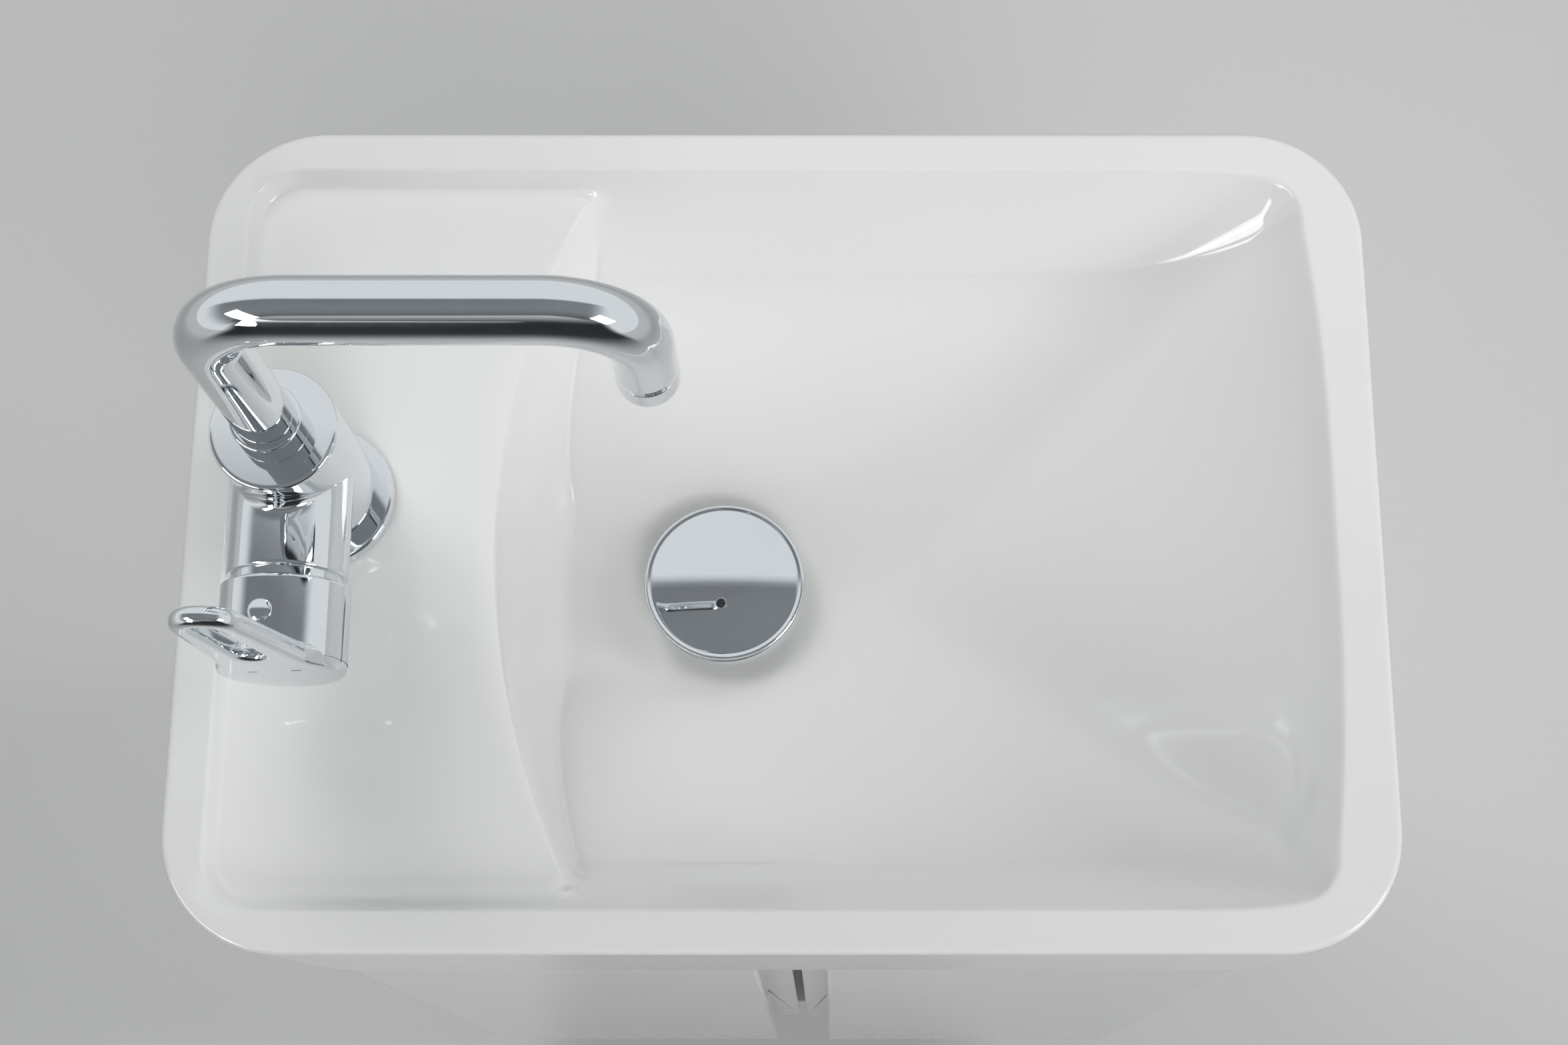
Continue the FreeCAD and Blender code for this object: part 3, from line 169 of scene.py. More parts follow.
class BasinSizes(PropertyGroup):
    """Sizes of the glazed basin."""

    width: length("Width", "Outside width of the rim", 0.450)
    depth: length("Depth", "Outside depth of the rim", 0.320)
    corner: length("Corner", "Radius of the rim's corners in plan", 0.045)
    taper: length("Taper", "How far the apron leans in at its foot", 0.0049)
    edge: length("Edge", "Reach of the rounding along the rim's outer edge", 0.0025)
    rim: length("Rim", "Width of the flat rim", 0.0160)
    drop: length("Drop", "Height of the rim above the ledge", 0.0070)
    bowl: length("Bowl depth", "Depth of the bowl's floor below the rim", 0.104)
    shoulder: length("Shoulder depth", "Depth of the steep upper wall below the rim", 0.049)
    shoulder_run: length("Shoulder run", "Width of that wall in plan", 0.0235)
    wall: length("Wall", "Thickness of the ceramic", 0.011)
    foot: length("Foot", "Width of the ring that the basin stands on", 0.032)
    arc: length("Lip radius", "Radius of the bowl's bulging left lip in plan", 0.298)
    arc_centre: length("Lip centre", "X of the centre of that lip", 0.193)
    lip: length("Lip rounding", "How far outside the lip its rounding starts", 0.005)
    left_reach: length("Left reach", "Width of the left wall with its foot", 0.030)
    ramp_foot: length("Ramp foot", "X where the ramp meets the floor", 0.008)
    ramp_head: length("Ramp head", "X where the ramp reaches the ledge's height", 0.205)
    floor_half: length("Floor half depth", "Half the depth of the flat floor round the drain", 0.034)
    inner_corner: length("Inner corner", "Radius of the rim's inner corners in plan", 0.020)
    corner_soft: length("Corner softness", "Rounding of the valleys in the right corners", 0.080)
    valley_soft: length("Valley softness", "Rounding of the valleys beside the ramp", 0.030)
    floor_soft: length("Floor softness", "Rounding where the slopes run into the floor", 0.010)
    crease_soft: length("Crease softness", "Rounding along the shoulder and the left wall's foot", 0.004)
    rim_soft: length("Rim softness", "Rounding of the rim's inner edge", 0.003)
    drain: length("Drain", "Radius of the drain hole", 0.023)


class TapSizes(PropertyGroup):
    """Sizes of the tap."""

    body: length("Body radius", "Radius of the tap's body", 0.0222)
    housing: length("Housing radius", "Radius of the side housing", 0.0212)
    flare: length("Flare", "Radius of the blend between housing and body", 0.005)
    collar: length("Collar radius", "Radius of the collar under the spout", 0.0123)
    tube: length("Tube radius", "Radius of the spout's tube", 0.0105)
    bend: length("Bend radius", "Radius of the spout's bends at the tube's middle", 0.029)
    cap: length("Cap radius", "Radius of the lever's cap", 0.02275)
    plate: length("Plate", "Thickness of the lever's loop", 0.007)
    root: length("Root", "Half width of the loop where it leaves the cap", 0.018)
    tip: length("Tip", "Radius of the loop's end", 0.012)
    tip_centre: length("Tip centre", "Distance of the centre of the loop's end from the axis", 0.064)
    slot: length("Slot", "Radius of the ends of the loop's slot", 0.005)
    slot_low: length("Slot start", "Distance of the slot's lower centre from the axis", 0.028)
    slot_high: length("Slot end", "Distance of the slot's upper centre from the axis", 0.065)
    lean: FloatProperty(name="Lean", description="Angle of the lever from upright at rest",
                        default=math.radians(9), subtype="ANGLE")


class WasteSizes(PropertyGroup):
    """Sizes of the waste's cap."""

    radius: length("Radius", "Radius of the cap", 0.033)
    edge: length("Edge", "Reach of the rounding along the cap's edge", 0.0025)
    crown: length("Crown", "Height of the cap's dome", 0.0035)


class FinishColours(PropertyGroup):
    """Colours of the main finishes."""

    ceramic: colour("Ceramic", "Glazed ceramic", (0.83, 0.83, 0.825))
    lacquer: colour("Lacquer", "Gloss lacquer of the doors", (0.80, 0.80, 0.795))
    board: colour("Board", "Melamine of the cabinet", (0.74, 0.74, 0.73))
    chrome: colour("Chrome", "Polished chrome", (0.77, 0.80, 0.82))


class StageSettings(PropertyGroup):
    """The floor, the lamps and the camera."""

    floor: colour("Floor", "Colour of the plain floor", (0.84, 0.84, 0.835))
    floor_size: length("Floor size", "Side of the square floor", 60.0)
    sky: number("Sky", "Strength of the even light all round", 0.23)
    floor_lift: number("Floor lift", "How much paler the far floor looks to the camera", 0.28)
    backdrop: number("Backdrop", "Strength of the backdrop that the camera and reflections see", 0.82)
    key: number("Key", "Power of the soft box that lights the back wall, in watts", 1.4)
    front: number("Front", "Power of the low soft box in front, in watts", 8.5)
    right: number("Right", "Power of the soft box at the right, in watts", 11.7)
    back: number("Back", "Power of the soft box at the back, in watts", 9.2)
    side: number("Side", "Power of each box that only reflections show, in watts", 6.5)
    lens: number("Lens", "Focal length of the camera in millimetres", 53.3)
    tilt: FloatProperty(name="Tilt", description="Camera's angle from straight down",
                        default=math.radians(15.93), subtype="ANGLE")


def node(tree, kind, inputs, **settings):
    """Adds a shader node. An input given as a socket is linked, any other is set."""
    made = tree.nodes.new(kind)
    for name, value in settings.items():
        setattr(made, name, value)
    for name, value in inputs.items():
        if isinstance(value, bpy.types.NodeSocket):
            tree.links.new(value, made.inputs[name])
        else:
            made.inputs[name].default_value = value
    return made


def finish(name, tint, shade, patch, grain, gloss, relief, stretch=(1, 1, 1), **sockets):
    """A procedural finish. Base colour runs from tint to shade over soft patches, roughness runs
    between the two gloss values over a finer grain, and the same grain raises the surface by
    relief = (strength, depth). Both patterns are noise on Object coordinates, stretched by stretch."""
    material = bpy.data.materials.new(name)
    material.use_nodes = True
    tree = material.node_tree
    shader = tree.nodes["Principled BSDF"]
    place = node(tree, "ShaderNodeTexCoord", {})
    mapped = node(tree, "ShaderNodeMapping", {"Vector": place.outputs["Object"], "Scale": stretch})
    cloud, fine = (node(tree, "ShaderNodeTexNoise", {"Vector": mapped.outputs["Vector"], "Scale": scale,
                                                     "Detail": NOISE_DETAIL}) for scale in (patch, grain))
    ramp = node(tree, "ShaderNodeValToRGB", {"Fac": cloud.outputs["Fac"]})
    for stop, position, rgb in zip(ramp.color_ramp.elements, PATCH_SPAN, (tint, shade)):
        stop.position = position
        stop.color = (*rgb, 1.0)
    rough = node(tree, "ShaderNodeMapRange", {
        "Value": fine.outputs["Fac"], "From Min": GRAIN_SPAN[0], "From Max": GRAIN_SPAN[1],
        "To Min": gloss[0], "To Max": gloss[1]})
    bump = node(tree, "ShaderNodeBump", {"Height": fine.outputs["Fac"], "Strength": relief[0],
                                         "Distance": relief[1]})
    tree.links.new(ramp.outputs["Color"], shader.inputs["Base Color"])
    tree.links.new(rough.outputs["Result"], shader.inputs["Roughness"])
    tree.links.new(bump.outputs["Normal"], shader.inputs["Normal"])
    for socket, value in sockets.items():
        shader.inputs[socket].default_value = value
    return material


def dimmed(rgb, share):
    """The same hue, darker by that share."""
    return tuple(channel * (1 - share) for channel in rgb)


def make_finishes(tones):
    """One finish for each material slot of the record."""
    return {
        "ceramic": finish("glazed_ceramic", tones.ceramic, dimmed(tones.ceramic, 0.015), 9, 60, (0.04, 0.08),
                          (0.003, 0.0005), IOR=1.52),
        "lacquer": finish("gloss_lacquer", tones.lacquer, dimmed(tones.lacquer, 0.012), 7, 420, (0.03, 0.07),
                          (0.012, 0.0004), IOR=1.5),
        "board": finish("white_melamine", tones.board, dimmed(tones.board, 0.03), 30, 1500, (0.38, 0.52),
                        (0.10, 0.0003)),
        "dowel": finish("beech_dowel", (0.50, 0.30, 0.16), (0.36, 0.20, 0.10), 260, 700, (0.5, 0.7),
                        (0.2, 0.0004), stretch=(0.12, 1, 1)),
        "steel": finish("zinc_plated_steel", (0.60, 0.61, 0.62), (0.50, 0.51, 0.53), 120, 900, (0.22, 0.38),
                        (0.05, 0.0002), Metallic=1.0),
        "leg_metal": finish("brushed_leg_metal", (0.62, 0.62, 0.62), (0.54, 0.54, 0.55), 60, 1400,
                            (0.22, 0.36), (0.06, 0.0002), stretch=(1, 1, 0.04), Metallic=1.0),
        "chrome": finish("polished_chrome", tones.chrome, dimmed(tones.chrome, 0.02), 40, 300, (0.02, 0.045),
                         (0.004, 0.0002), Metallic=1.0),
        "brass": finish("turned_brass", (0.70, 0.50, 0.22), (0.58, 0.39, 0.16), 90, 800, (0.22, 0.36),
                        (0.06, 0.0002), Metallic=1.0),
        "dark_plastic": finish("dark_moulded_plastic", (0.035, 0.036, 0.038), (0.05, 0.05, 0.052), 80, 1600,
                               (0.38, 0.52), (0.12, 0.0003)),
        "bearing_plastic": finish("pale_bearing_plastic", (0.62, 0.61, 0.57), (0.55, 0.54, 0.50), 90, 1200,
                                  (0.35, 0.48), (0.08, 0.0003)),
        "trap_plastic": finish("white_trap_plastic", (0.70, 0.70, 0.68), (0.65, 0.65, 0.63), 40, 700,
                               (0.26, 0.40), (0.06, 0.0003)),
        "rubber": finish("black_rubber", (0.022, 0.022, 0.023), (0.034, 0.034, 0.035), 150, 1300,
                         (0.60, 0.78), (0.18, 0.0003)),
        "hot": finish("hot_mark_enamel", (0.30, 0.27, 0.27), (0.26, 0.23, 0.23), 900, 2500, (0.28, 0.40),
                      (0.05, 0.0002)),
        "cold": finish("cold_mark_enamel", (0.06, 0.16, 0.42), (0.05, 0.13, 0.36), 900, 2500, (0.28, 0.40),
                       (0.05, 0.0002)),
    }


def finish_of(slot):
    """The finish made for a material slot."""
    return bpy.data.materials[FINISH_NAMES[slot]]


def quads_of(index):
    """The quads between neighbours on a grid of vertex numbers."""
    return np.stack((index[:-1, :-1], index[1:, :-1], index[1:, 1:], index[:-1, 1:]), -1).reshape(-1, 4)


def piece(name, grids, body, slot, replaced):
    """Joins grids of points into one mesh that rides on a body and stands for CAD nodes. Each grid is
    (points, wrap): points holds rows by columns by xyz, neighbours are joined by quads, and a wrapped
    direction is closed."""
    clouds, quads, start = [], [], 0
    for points, wrap in grids:
        index = np.arange(points[..., 0].size).reshape(points.shape[:2]) + start
        for axis, closed in enumerate(wrap):
            if closed:
                index = np.concatenate((index, np.take(index, [0], axis)), axis)
        quads.append(quads_of(index))
        clouds.append(points.reshape(-1, 3))
        start += points[..., 0].size
    mesh = bpy.data.meshes.new(name)
    mesh.from_pydata(np.concatenate(clouds), [], np.concatenate(quads))
    shape = bmesh.new()
    shape.from_mesh(mesh)
    bmesh.ops.remove_doubles(shape, verts=shape.verts, dist=WELD)
    bmesh.ops.recalc_face_normals(shape, faces=shape.faces)
    shape.to_mesh(mesh)
    shape.free()
    mesh.polygons.foreach_set("use_smooth", np.ones(len(mesh.polygons), bool))
    mesh.materials.append(finish_of(slot))
    made = bpy.data.objects.new(name, mesh)
    bpy.context.scene.collection.objects.link(made)
    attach(made, body)
    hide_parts(*replaced)


def softened(points, reach, steps=7, support=1.3):
    """A profile with its inner corners rounded. Each corner becomes a quadratic curve from a point one
    reach before it to a point one reach after it, with a supporting point a little further out on
    each side so that flats stay flat in the shading."""
    points = np.asarray(points, float)
    t = np.linspace(0, 1, steps)[:, None]
    run = [points[:1]]
    reaches = np.broadcast_to(reach, len(points) - 2)
    for before, corner, after, away in zip(points, points[1:], points[2:], reaches):
        back = (before - corner) / np.linalg.norm(before - corner) * away
        ahead = (after - corner) / np.linalg.norm(after - corner) * away
        curve = (1 - t) ** 2 * (corner + back) + 2 * t * (1 - t) * corner + t ** 2 * (corner + ahead)
        run += [(corner + back * support)[None], curve, (corner + ahead * support)[None]]
    return np.concatenate(run + [points[-1:]])


def turned(profile, origin, axes=UPRIGHT, steps=128):
    """A turned surface: each profile point (radius, height) goes once round the axis, which is the
    third row of axes, and the profile's rows follow its points."""
    radius, height = np.asarray(profile, float).T[:, :, None]
    angle = np.linspace(0, TAU, steps, endpoint=False)[None]
    local = np.stack(np.broadcast_arrays(radius * np.cos(angle), radius * np.sin(angle), height), -1)
    return np.asarray(origin, float) + local @ axes


def disc_profile(radius, start, end, edges):
    """Profile of a disc, from the middle of the face at one height to the middle of the other one."""
    return softened([(0.0, start), (radius, start), (radius, end), (0.0, end)], edges)


def turned_chrome(name, profile, origin, body, replaced, steps=128):
    """A polished piece turned about an upright axis, in place of one CAD node."""
    piece(name, [(turned(profile, origin, UPRIGHT, steps), TURNED)], body, "chrome", (replaced,))


def soft_least(a, b, soft):
    """The smaller of two heights, rounded where they come within soft of each other: the smaller one
    less a cubic bump of the gap's share."""
    gap = np.maximum(soft - np.abs(a - b), 0) / soft
    return np.minimum(a, b) - gap ** 3 * soft / 6


def soft_most(a, b, soft):
    """The larger of two heights, rounded in the same way."""
    return -soft_least(-a, -b, soft)


def bowl_height(x, y, basin, grow=0.0):
    """Height of the basin inside its rim, as the larger of the surfaces that bound it, with soft joins:
    a steep upper wall that falls evenly from the rim's inner edge; the ledge, which ends in a left wall
    of the form h * (1 - t)^p * (1 + p t), flat at its lip and tangent to the floor, with t the share of
    its reach; two slopes that rise evenly to the back and the front shoulder; a ramp that rises to the
    right as a power of the distance; and the flat floor. The valleys beside the ramp get softer towards
    the right corners, as a power of the share of the way there. The rim caps the result. grow moves
    every boundary outwards, for the underside."""
    inner_x, inner_y = basin.width / 2 - basin.rim, basin.depth / 2 - basin.rim
    inner_r = basin.inner_corner
    out_x, out_y = np.abs(x) - inner_x + inner_r, np.abs(y) - inner_y + inner_r
    edge_gap = (inner_r - np.hypot(np.maximum(out_x, 0), np.maximum(out_y, 0))
                - np.minimum(np.maximum(out_x, out_y), 0) + grow)
    upper_wall = basin.bowl - edge_gap * basin.shoulder / basin.shoulder_run

    t = np.clip((basin.arc + basin.lip + grow - np.hypot(x - basin.arc_centre, y)) / basin.left_reach, 0, 1)
    ledge_height = basin.bowl - basin.drop
    left_wall = ledge_height * (1 - t) ** LEFT_POWER * (1 + LEFT_POWER * t)

    shoulder_y = inner_y - basin.shoulder_run
    slope = ((basin.bowl - basin.shoulder) * (np.abs(y) - grow - basin.floor_half)
             / (shoulder_y - basin.floor_half))
    along = (x - grow - basin.ramp_foot) / (basin.ramp_head - basin.ramp_foot)
    ramp = ledge_height * np.sign(along) * np.abs(along) ** RAMP_POWER

    height = soft_most(slope, upper_wall, basin.crease_soft)
    near_corner = np.clip(along, 0, 1) * np.clip(np.abs(y) / shoulder_y, 0, 1)
    valley = basin.valley_soft + (basin.corner_soft - basin.valley_soft) * near_corner ** CORNER_POWER
    height = soft_most(height, ramp, valley)
    height = soft_most(height, np.zeros_like(x), basin.floor_soft)
    height = soft_most(height, left_wall, basin.crease_soft)
    height = soft_least(height, np.full_like(x, basin.bowl), basin.rim_soft)
    return BASIN_HIGH[2] - basin.bowl + height


def rim_columns(basin):
    """Core points and outward directions for the columns round the basin: the core runs along a
    rectangle joining the corner centres, and the direction turns a quarter at each corner."""
    half_x, half_y = basin.width / 2 - basin.corner, basin.depth / 2 - basin.corner
    plan = [(half_x, half_y), (-half_x, half_y), (-half_x, -half_y), (half_x, -half_y), (half_x, half_y)]
    core, heading = [], []
    for quarter, (start, end) in enumerate(zip(plan, plan[1:])):
        t = np.linspace(0, 1, SIDE_COLUMNS, endpoint=False)[:, None]
        core += [np.array(start) * (1 - t) + np.array(end) * t, np.repeat([end], CORNER_COLUMNS, 0)]
        turn = np.linspace(0, 1, CORNER_COLUMNS, endpoint=False)
        heading += [np.full(SIDE_COLUMNS, quarter + 1.0), quarter + 1.0 + turn]
    angle = np.concatenate(heading) * QUARTER
    return np.concatenate(core), np.stack((np.cos(angle), np.sin(angle)), -1)


def at_height(flat, height):
    """The points of a plan lifted to a height, which may differ by row or by point."""
    return np.concatenate((flat, np.broadcast_to(height, flat.shape[:-1])[..., None]), -1)


def basin_grid(basin):
    """The whole basin as one closed grid. Columns go round the rim. Rows go up the tapered apron and
    over the rim, then along straight lines towards the drain, down the inner edge, across the ledge
    where there is one and down the bowl, through the drain hole and back along the hollow underside."""
    core, out = rim_columns(basin)
    top, low = BASIN_HIGH[2], BASIN_LOW[2]
    drain = np.array([DRAIN_X, DRAIN_Y])

    def ring(inset):
        """The outline of the rim moved in by inset."""
        return core[None] + out[None] * (basin.corner - inset)

    outside = softened([(2 * basin.taper, low), (basin.taper, low), (0, top), (basin.rim - RIM_LEAD, top)],
                       (FOOT_EDGE, basin.edge))
    apron = at_height(ring(outside[:, :1, None]), outside[:, 1:])
    start = apron[-1, :, :2]
    way = drain - start
    reach = np.linalg.norm(way, axis=-1)
    way = way / reach[:, None]
    from_centre = start - np.array([basin.arc_centre, 0.0])
    along = (from_centre * way).sum(-1)
    outside_arc = (from_centre ** 2).sum(-1) - (basin.arc + basin.lip) ** 2
    ledge = np.where(outside_arc > 0, -along - np.sqrt(np.maximum(along ** 2 - outside_arc, 0)), 0)
    ledge = np.maximum(ledge, EDGE_RUN + LEAST_LEDGE)
    wall = np.minimum(WALL_RUN, WALL_RUN_SHARE * (reach - ledge))
    bottom = reach - basin.drain - DRAIN_LEAD
    on_edge, on_ledge, on_wall, on_slope, on_hollow = (
        np.linspace(0, 1, count + 1)[1:, None]
        for count in (EDGE_ROWS, LEDGE_ROWS, WALL_ROWS, SLOPE_ROWS, HOLLOW_ROWS))
    distance = np.concatenate((EDGE_RUN * on_edge * np.ones_like(reach),
                               EDGE_RUN + (ledge - EDGE_RUN) * on_ledge,
                               ledge + wall * on_wall ** WALL_ROW_POWER,
                               ledge + wall + (bottom - ledge - wall) * on_slope))
    flat = start[None] + way[None] * distance[..., None]
    bowl = at_height(flat, bowl_height(flat[..., 0], flat[..., 1], basin))

    floor = bowl[-1, :, 2].mean()
    hole = softened([(basin.drain + DRAIN_LEAD, floor), (basin.drain, floor), (basin.drain, low),
                     (basin.drain + DRAIN_SEAT, low)], DRAIN_EDGES)[1:]
    drain_rows = at_height(drain - way[None] * hole[:, :1, None], hole[:, 1:])
    seat = drain_rows[-1, :, :2]
    flat = seat[None] + (ring(basin.foot) - seat) * on_hollow[..., None]
    ceiling = np.maximum(bowl_height(flat[..., 0], flat[..., 1], basin, basin.wall) - basin.wall, low)
    hollow = at_height(flat, ceiling)
    stand = np.repeat(hollow[-1:], STAND_ROWS, 0)
    stand[..., 2] = low + (hollow[-1:, :, 2] - low) * np.linspace(STAND_START, 0, STAND_ROWS)[:, None]
    return np.concatenate((apron, bowl, drain_rows, hollow, stand))


def tube_along(path, heading, radius, steps=72):
    """A round tube along a path in an upright plane: at each point a circle of that radius stands
    across the heading angle, so its plane holds the Y axis and the heading's normal."""
    angle = np.linspace(0, TAU, steps, endpoint=False)[None, :, None]
    across = np.array([0.0, 1.0, 0.0])[None, None]
    normal = np.stack((-np.sin(heading), np.zeros_like(heading), np.cos(heading)), -1)[:, None]
    return path[:, None] + radius[:, None, None] * (np.cos(angle) * across + np.sin(angle) * normal)


def spout_grid(tap):
    """The spout: up from the collar, a quarter bend, level to the outlet's bend and down to the
    aerator. The radius falls to nothing at both ends, which closes the tube."""
    sunk, gap, lip, lip_insets = 0.002, 0.0004, 0.0002, np.array([0.0004, 0.0006])
    high = SPOUT_TOP - tap.tube - tap.bend
    turn = np.linspace(0, QUARTER, 34)
    rise = np.linspace(COLLAR_LOW[2] + sunk, high, 12)
    level = np.linspace(TAP_X + tap.bend, OUTLET_X - tap.bend, 10)
    drop = np.linspace(high, AERATOR_HIGH[2] + gap, 6)
    x = np.concatenate((np.full_like(rise, TAP_X), TAP_X + tap.bend * (1 - np.cos(turn)), level,
                        OUTLET_X - tap.bend * (1 - np.sin(turn)), np.full_like(drop, OUTLET_X)))
    z = np.concatenate((rise, high + tap.bend * np.sin(turn), np.full_like(level, high + tap.bend),
                        high + tap.bend * np.cos(turn), drop))
    heading = np.concatenate((np.full_like(rise, QUARTER), QUARTER - turn, np.zeros_like(level), -turn,
                              np.full_like(drop, -QUARTER)))
    ends = (1, 3)
    path = np.pad(np.stack((x, np.full_like(x, TAP_Y), z), -1), (ends, (0, 0)), "edge")
    path[-ends[1]:, 2] -= lip
    radius = np.concatenate(([0.0], np.full_like(x, tap.tube), tap.tube - lip_insets, [0.0]))
    return tube_along(path, np.pad(heading, ends, "edge"), radius)


def housing_grid(tap):
    """The side housing: a tube towards the room whose root flares into the round body. The flare is a
    quarter circle whose radius fades to nothing at the sides, where the two rounds run into each other,
    and the root follows the body's own curve."""
    sunk, edge, edge_lead, bore, bore_depth, fade = 0.0008, 0.0012, 0.00168, 0.016, 0.004, 1.5
    angle = np.linspace(0, TAU, 160, endpoint=False)
    around = np.ones_like(angle)
    flare = tap.flare * np.abs(np.sin(angle)) ** fade
    root = np.sqrt(np.maximum(tap.body ** 2 - ((tap.housing + flare) * np.cos(angle)) ** 2, 0))
    reach = TAP_Y - GROOVE_HIGH[1] - root
    flare_turn = np.linspace(0, QUARTER, 14)[:, None]
    flare_far = flare * (1 - np.cos(flare_turn))
    flare_wide = tap.housing + flare * (1 - np.sin(flare_turn))
    share = np.linspace(0, 1, 8)[1:, None]
    edge_turn = np.linspace(0, QUARTER, 7)[:, None]
    far = np.concatenate((flare_far[:1] - sunk, flare_far, flare + (reach - edge_lead - flare) * share,
                          reach - edge * (1 - np.sin(edge_turn)), [reach, reach, reach - bore_depth]))
    wide = np.concatenate((flare_wide[:1], flare_wide, np.full_like(share, tap.housing) * around,
                           (tap.housing - edge * (1 - np.cos(edge_turn))) * around,
                           np.array([[tap.housing - 2 * edge], [bore], [bore]]) * around))
    return np.stack((TAP_X + wide * np.cos(angle), TAP_Y - root - far,
                     CARTRIDGE_Z + wide * np.sin(angle)), -1)


def leaned(points, tap):
    """Turns points about the cartridge's axis by the lever's lean, towards the left."""
    x, z = points[..., 0] - TAP_X, points[..., 2] - CARTRIDGE_Z
    cos, sin = math.cos(tap.lean), math.sin(tap.lean)
    return np.stack((TAP_X + x * cos - z * sin, points[..., 1], CARTRIDGE_Z + x * sin + z * cos), -1)


def loop_grid(tap, front, back):
    """The lever's loop and the cap's end face as one ring with the slot as its hole. Columns go round
    the slot; at each, a ray leaves the slot's core and ends on the outline, which is the cap's circle,
    the tapered flanks and the round tip taken together, evened out along the columns so the flanks
    run softly into the circle. Rows go round the section, with rounded edges."""
    straight, half, even = 40, 64, 4
    past_tip, past_axis, least_side = 0.003, 0.004, 1e-3
    round_edge, slot_edge = 0.0030, 0.0020
    up = np.linspace(tap.slot_low, tap.slot_high, straight, endpoint=False)
    turn = np.linspace(0, TAU / 2, half, endpoint=False)
    core = np.concatenate((up, np.full(half, tap.slot_high), up[::-1] + (up[1] - up[0]),
                           np.full(half, tap.slot_low)))
    angle = np.concatenate((np.zeros(straight), turn, np.full(straight, TAU / 2), TAU / 2 + turn))
    cos, sin = np.cos(angle), np.sin(angle)

    def far_hit(centre, radius):
        """Distance along each ray to the far side of a circle, or 0 where the ray misses it."""
        along = sin * (core - centre)
        inside = along ** 2 - (core - centre) ** 2 + radius ** 2
        return np.where(inside > 0, -along + np.sqrt(np.maximum(inside, 0)), 0)

    narrow = (tap.root - tap.tip) / tap.tip_centre
    flank = (tap.root - narrow * core) / np.maximum(np.abs(cos) + narrow * sin, 1e-6)
    hit_height = core + flank * sin
    on_flank = (hit_height < tap.tip_centre + past_tip) & (hit_height > -past_axis)
    flank = np.where(on_flank & (np.abs(cos) > least_side) & (flank > 0), flank, 0)
    outline = np.maximum(np.maximum(far_hit(0.0, tap.cap), far_hit(tap.tip_centre, tap.tip)), flank)
    kernel = np.hanning(2 * even + 1)
    outline = np.convolve(np.pad(outline, even, "wrap"), kernel / kernel.sum(), "valid")

    t = np.linspace(0, QUARTER, 6)[:, None]
    flat = np.linspace(0, 1, 6)[1:-1, None]
    inner, outer = tap.slot + slot_edge, outline[None] - round_edge
    ones = np.ones_like(outline)[None]
    away = [inner + (outer - inner) * flat,
            outer + round_edge * np.sin(t), outer + round_edge * np.cos(t),
            outer + (inner - outer) * flat,
            (inner - slot_edge * np.sin(t)) * ones, (inner - slot_edge * np.cos(t)) * ones]
    deep = [np.full_like(flat, front),
            front + round_edge * (1 - np.cos(t)), back - round_edge * (1 - np.sin(t)),
            np.full_like(flat, back),
            back - slot_edge * (1 - np.cos(t)), front + slot_edge * (1 - np.sin(t))]
    away = np.concatenate(away)
    deep = np.concatenate(deep) * ones
    points = np.stack((TAP_X + away * cos, deep, CARTRIDGE_Z + core + away * sin), -1)
    return leaned(points, tap)


class VANITY_OT_finishes(Operator):
    """Makes a procedural finish for every material slot and gives the CAD nodes theirs."""

    bl_idname = "vanity.finishes"
    bl_label = "Finishes"

    def execute(self, context):
        for slot, material in make_finishes(context.scene.vanity_colours).items():
            FINISH_NAMES[slot] = material.name
        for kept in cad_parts.values():
            for held in kept.material_slots:
                held.material = finish_of(held.material.name)
        return {"FINISHED"}


class VANITY_OT_basin(Operator):
    """Makes the glazed basin with its rim, ledge, sloping bowl and hollow underside."""

    bl_idname = "vanity.basin"
    bl_label = "Basin"

    def execute(self, context):
        grid = basin_grid(context.scene.vanity_basin)
        piece("glazed_basin", [(grid, RING)], "cabinet", "ceramic", ("basin", "basin_bowl"))
        return {"FINISHED"}


class VANITY_OT_tap(Operator):
    """Makes the tap's body with its side housing, the base ring and the collar."""

    bl_idname = "vanity.tap"
    bl_label = "Tap body"

    def execute(self, context):
        tap = context.scene.vanity_tap
        axis = (TAP_X, TAP_Y, 0.0)
        inside_ring = 0.004
        column = disc_profile(tap.body, BODY_TOP, RING_LOW[2] + inside_ring, (0.0014, 0.0004))
        ring = disc_profile(RING_HIGH[0] - TAP_X, RING_LOW[2], RING_HIGH[2], (0.0004, 0.0018))
        collar = disc_profile(tap.collar, COLLAR_LOW[2], COLLAR_HIGH[2], (0.0003, 0.0009))
        piece("tap_column", [(turned(column, axis), TURNED), (housing_grid(tap), TURNED)],
              "cabinet", "chrome", ("tap_body",))
        turned_chrome("tap_foot_ring", ring, axis, "cabinet", "tap_base_ring")
        turned_chrome("spout_foot_collar", collar, axis, "cabinet", "spout_collar")
        return {"FINISHED"}


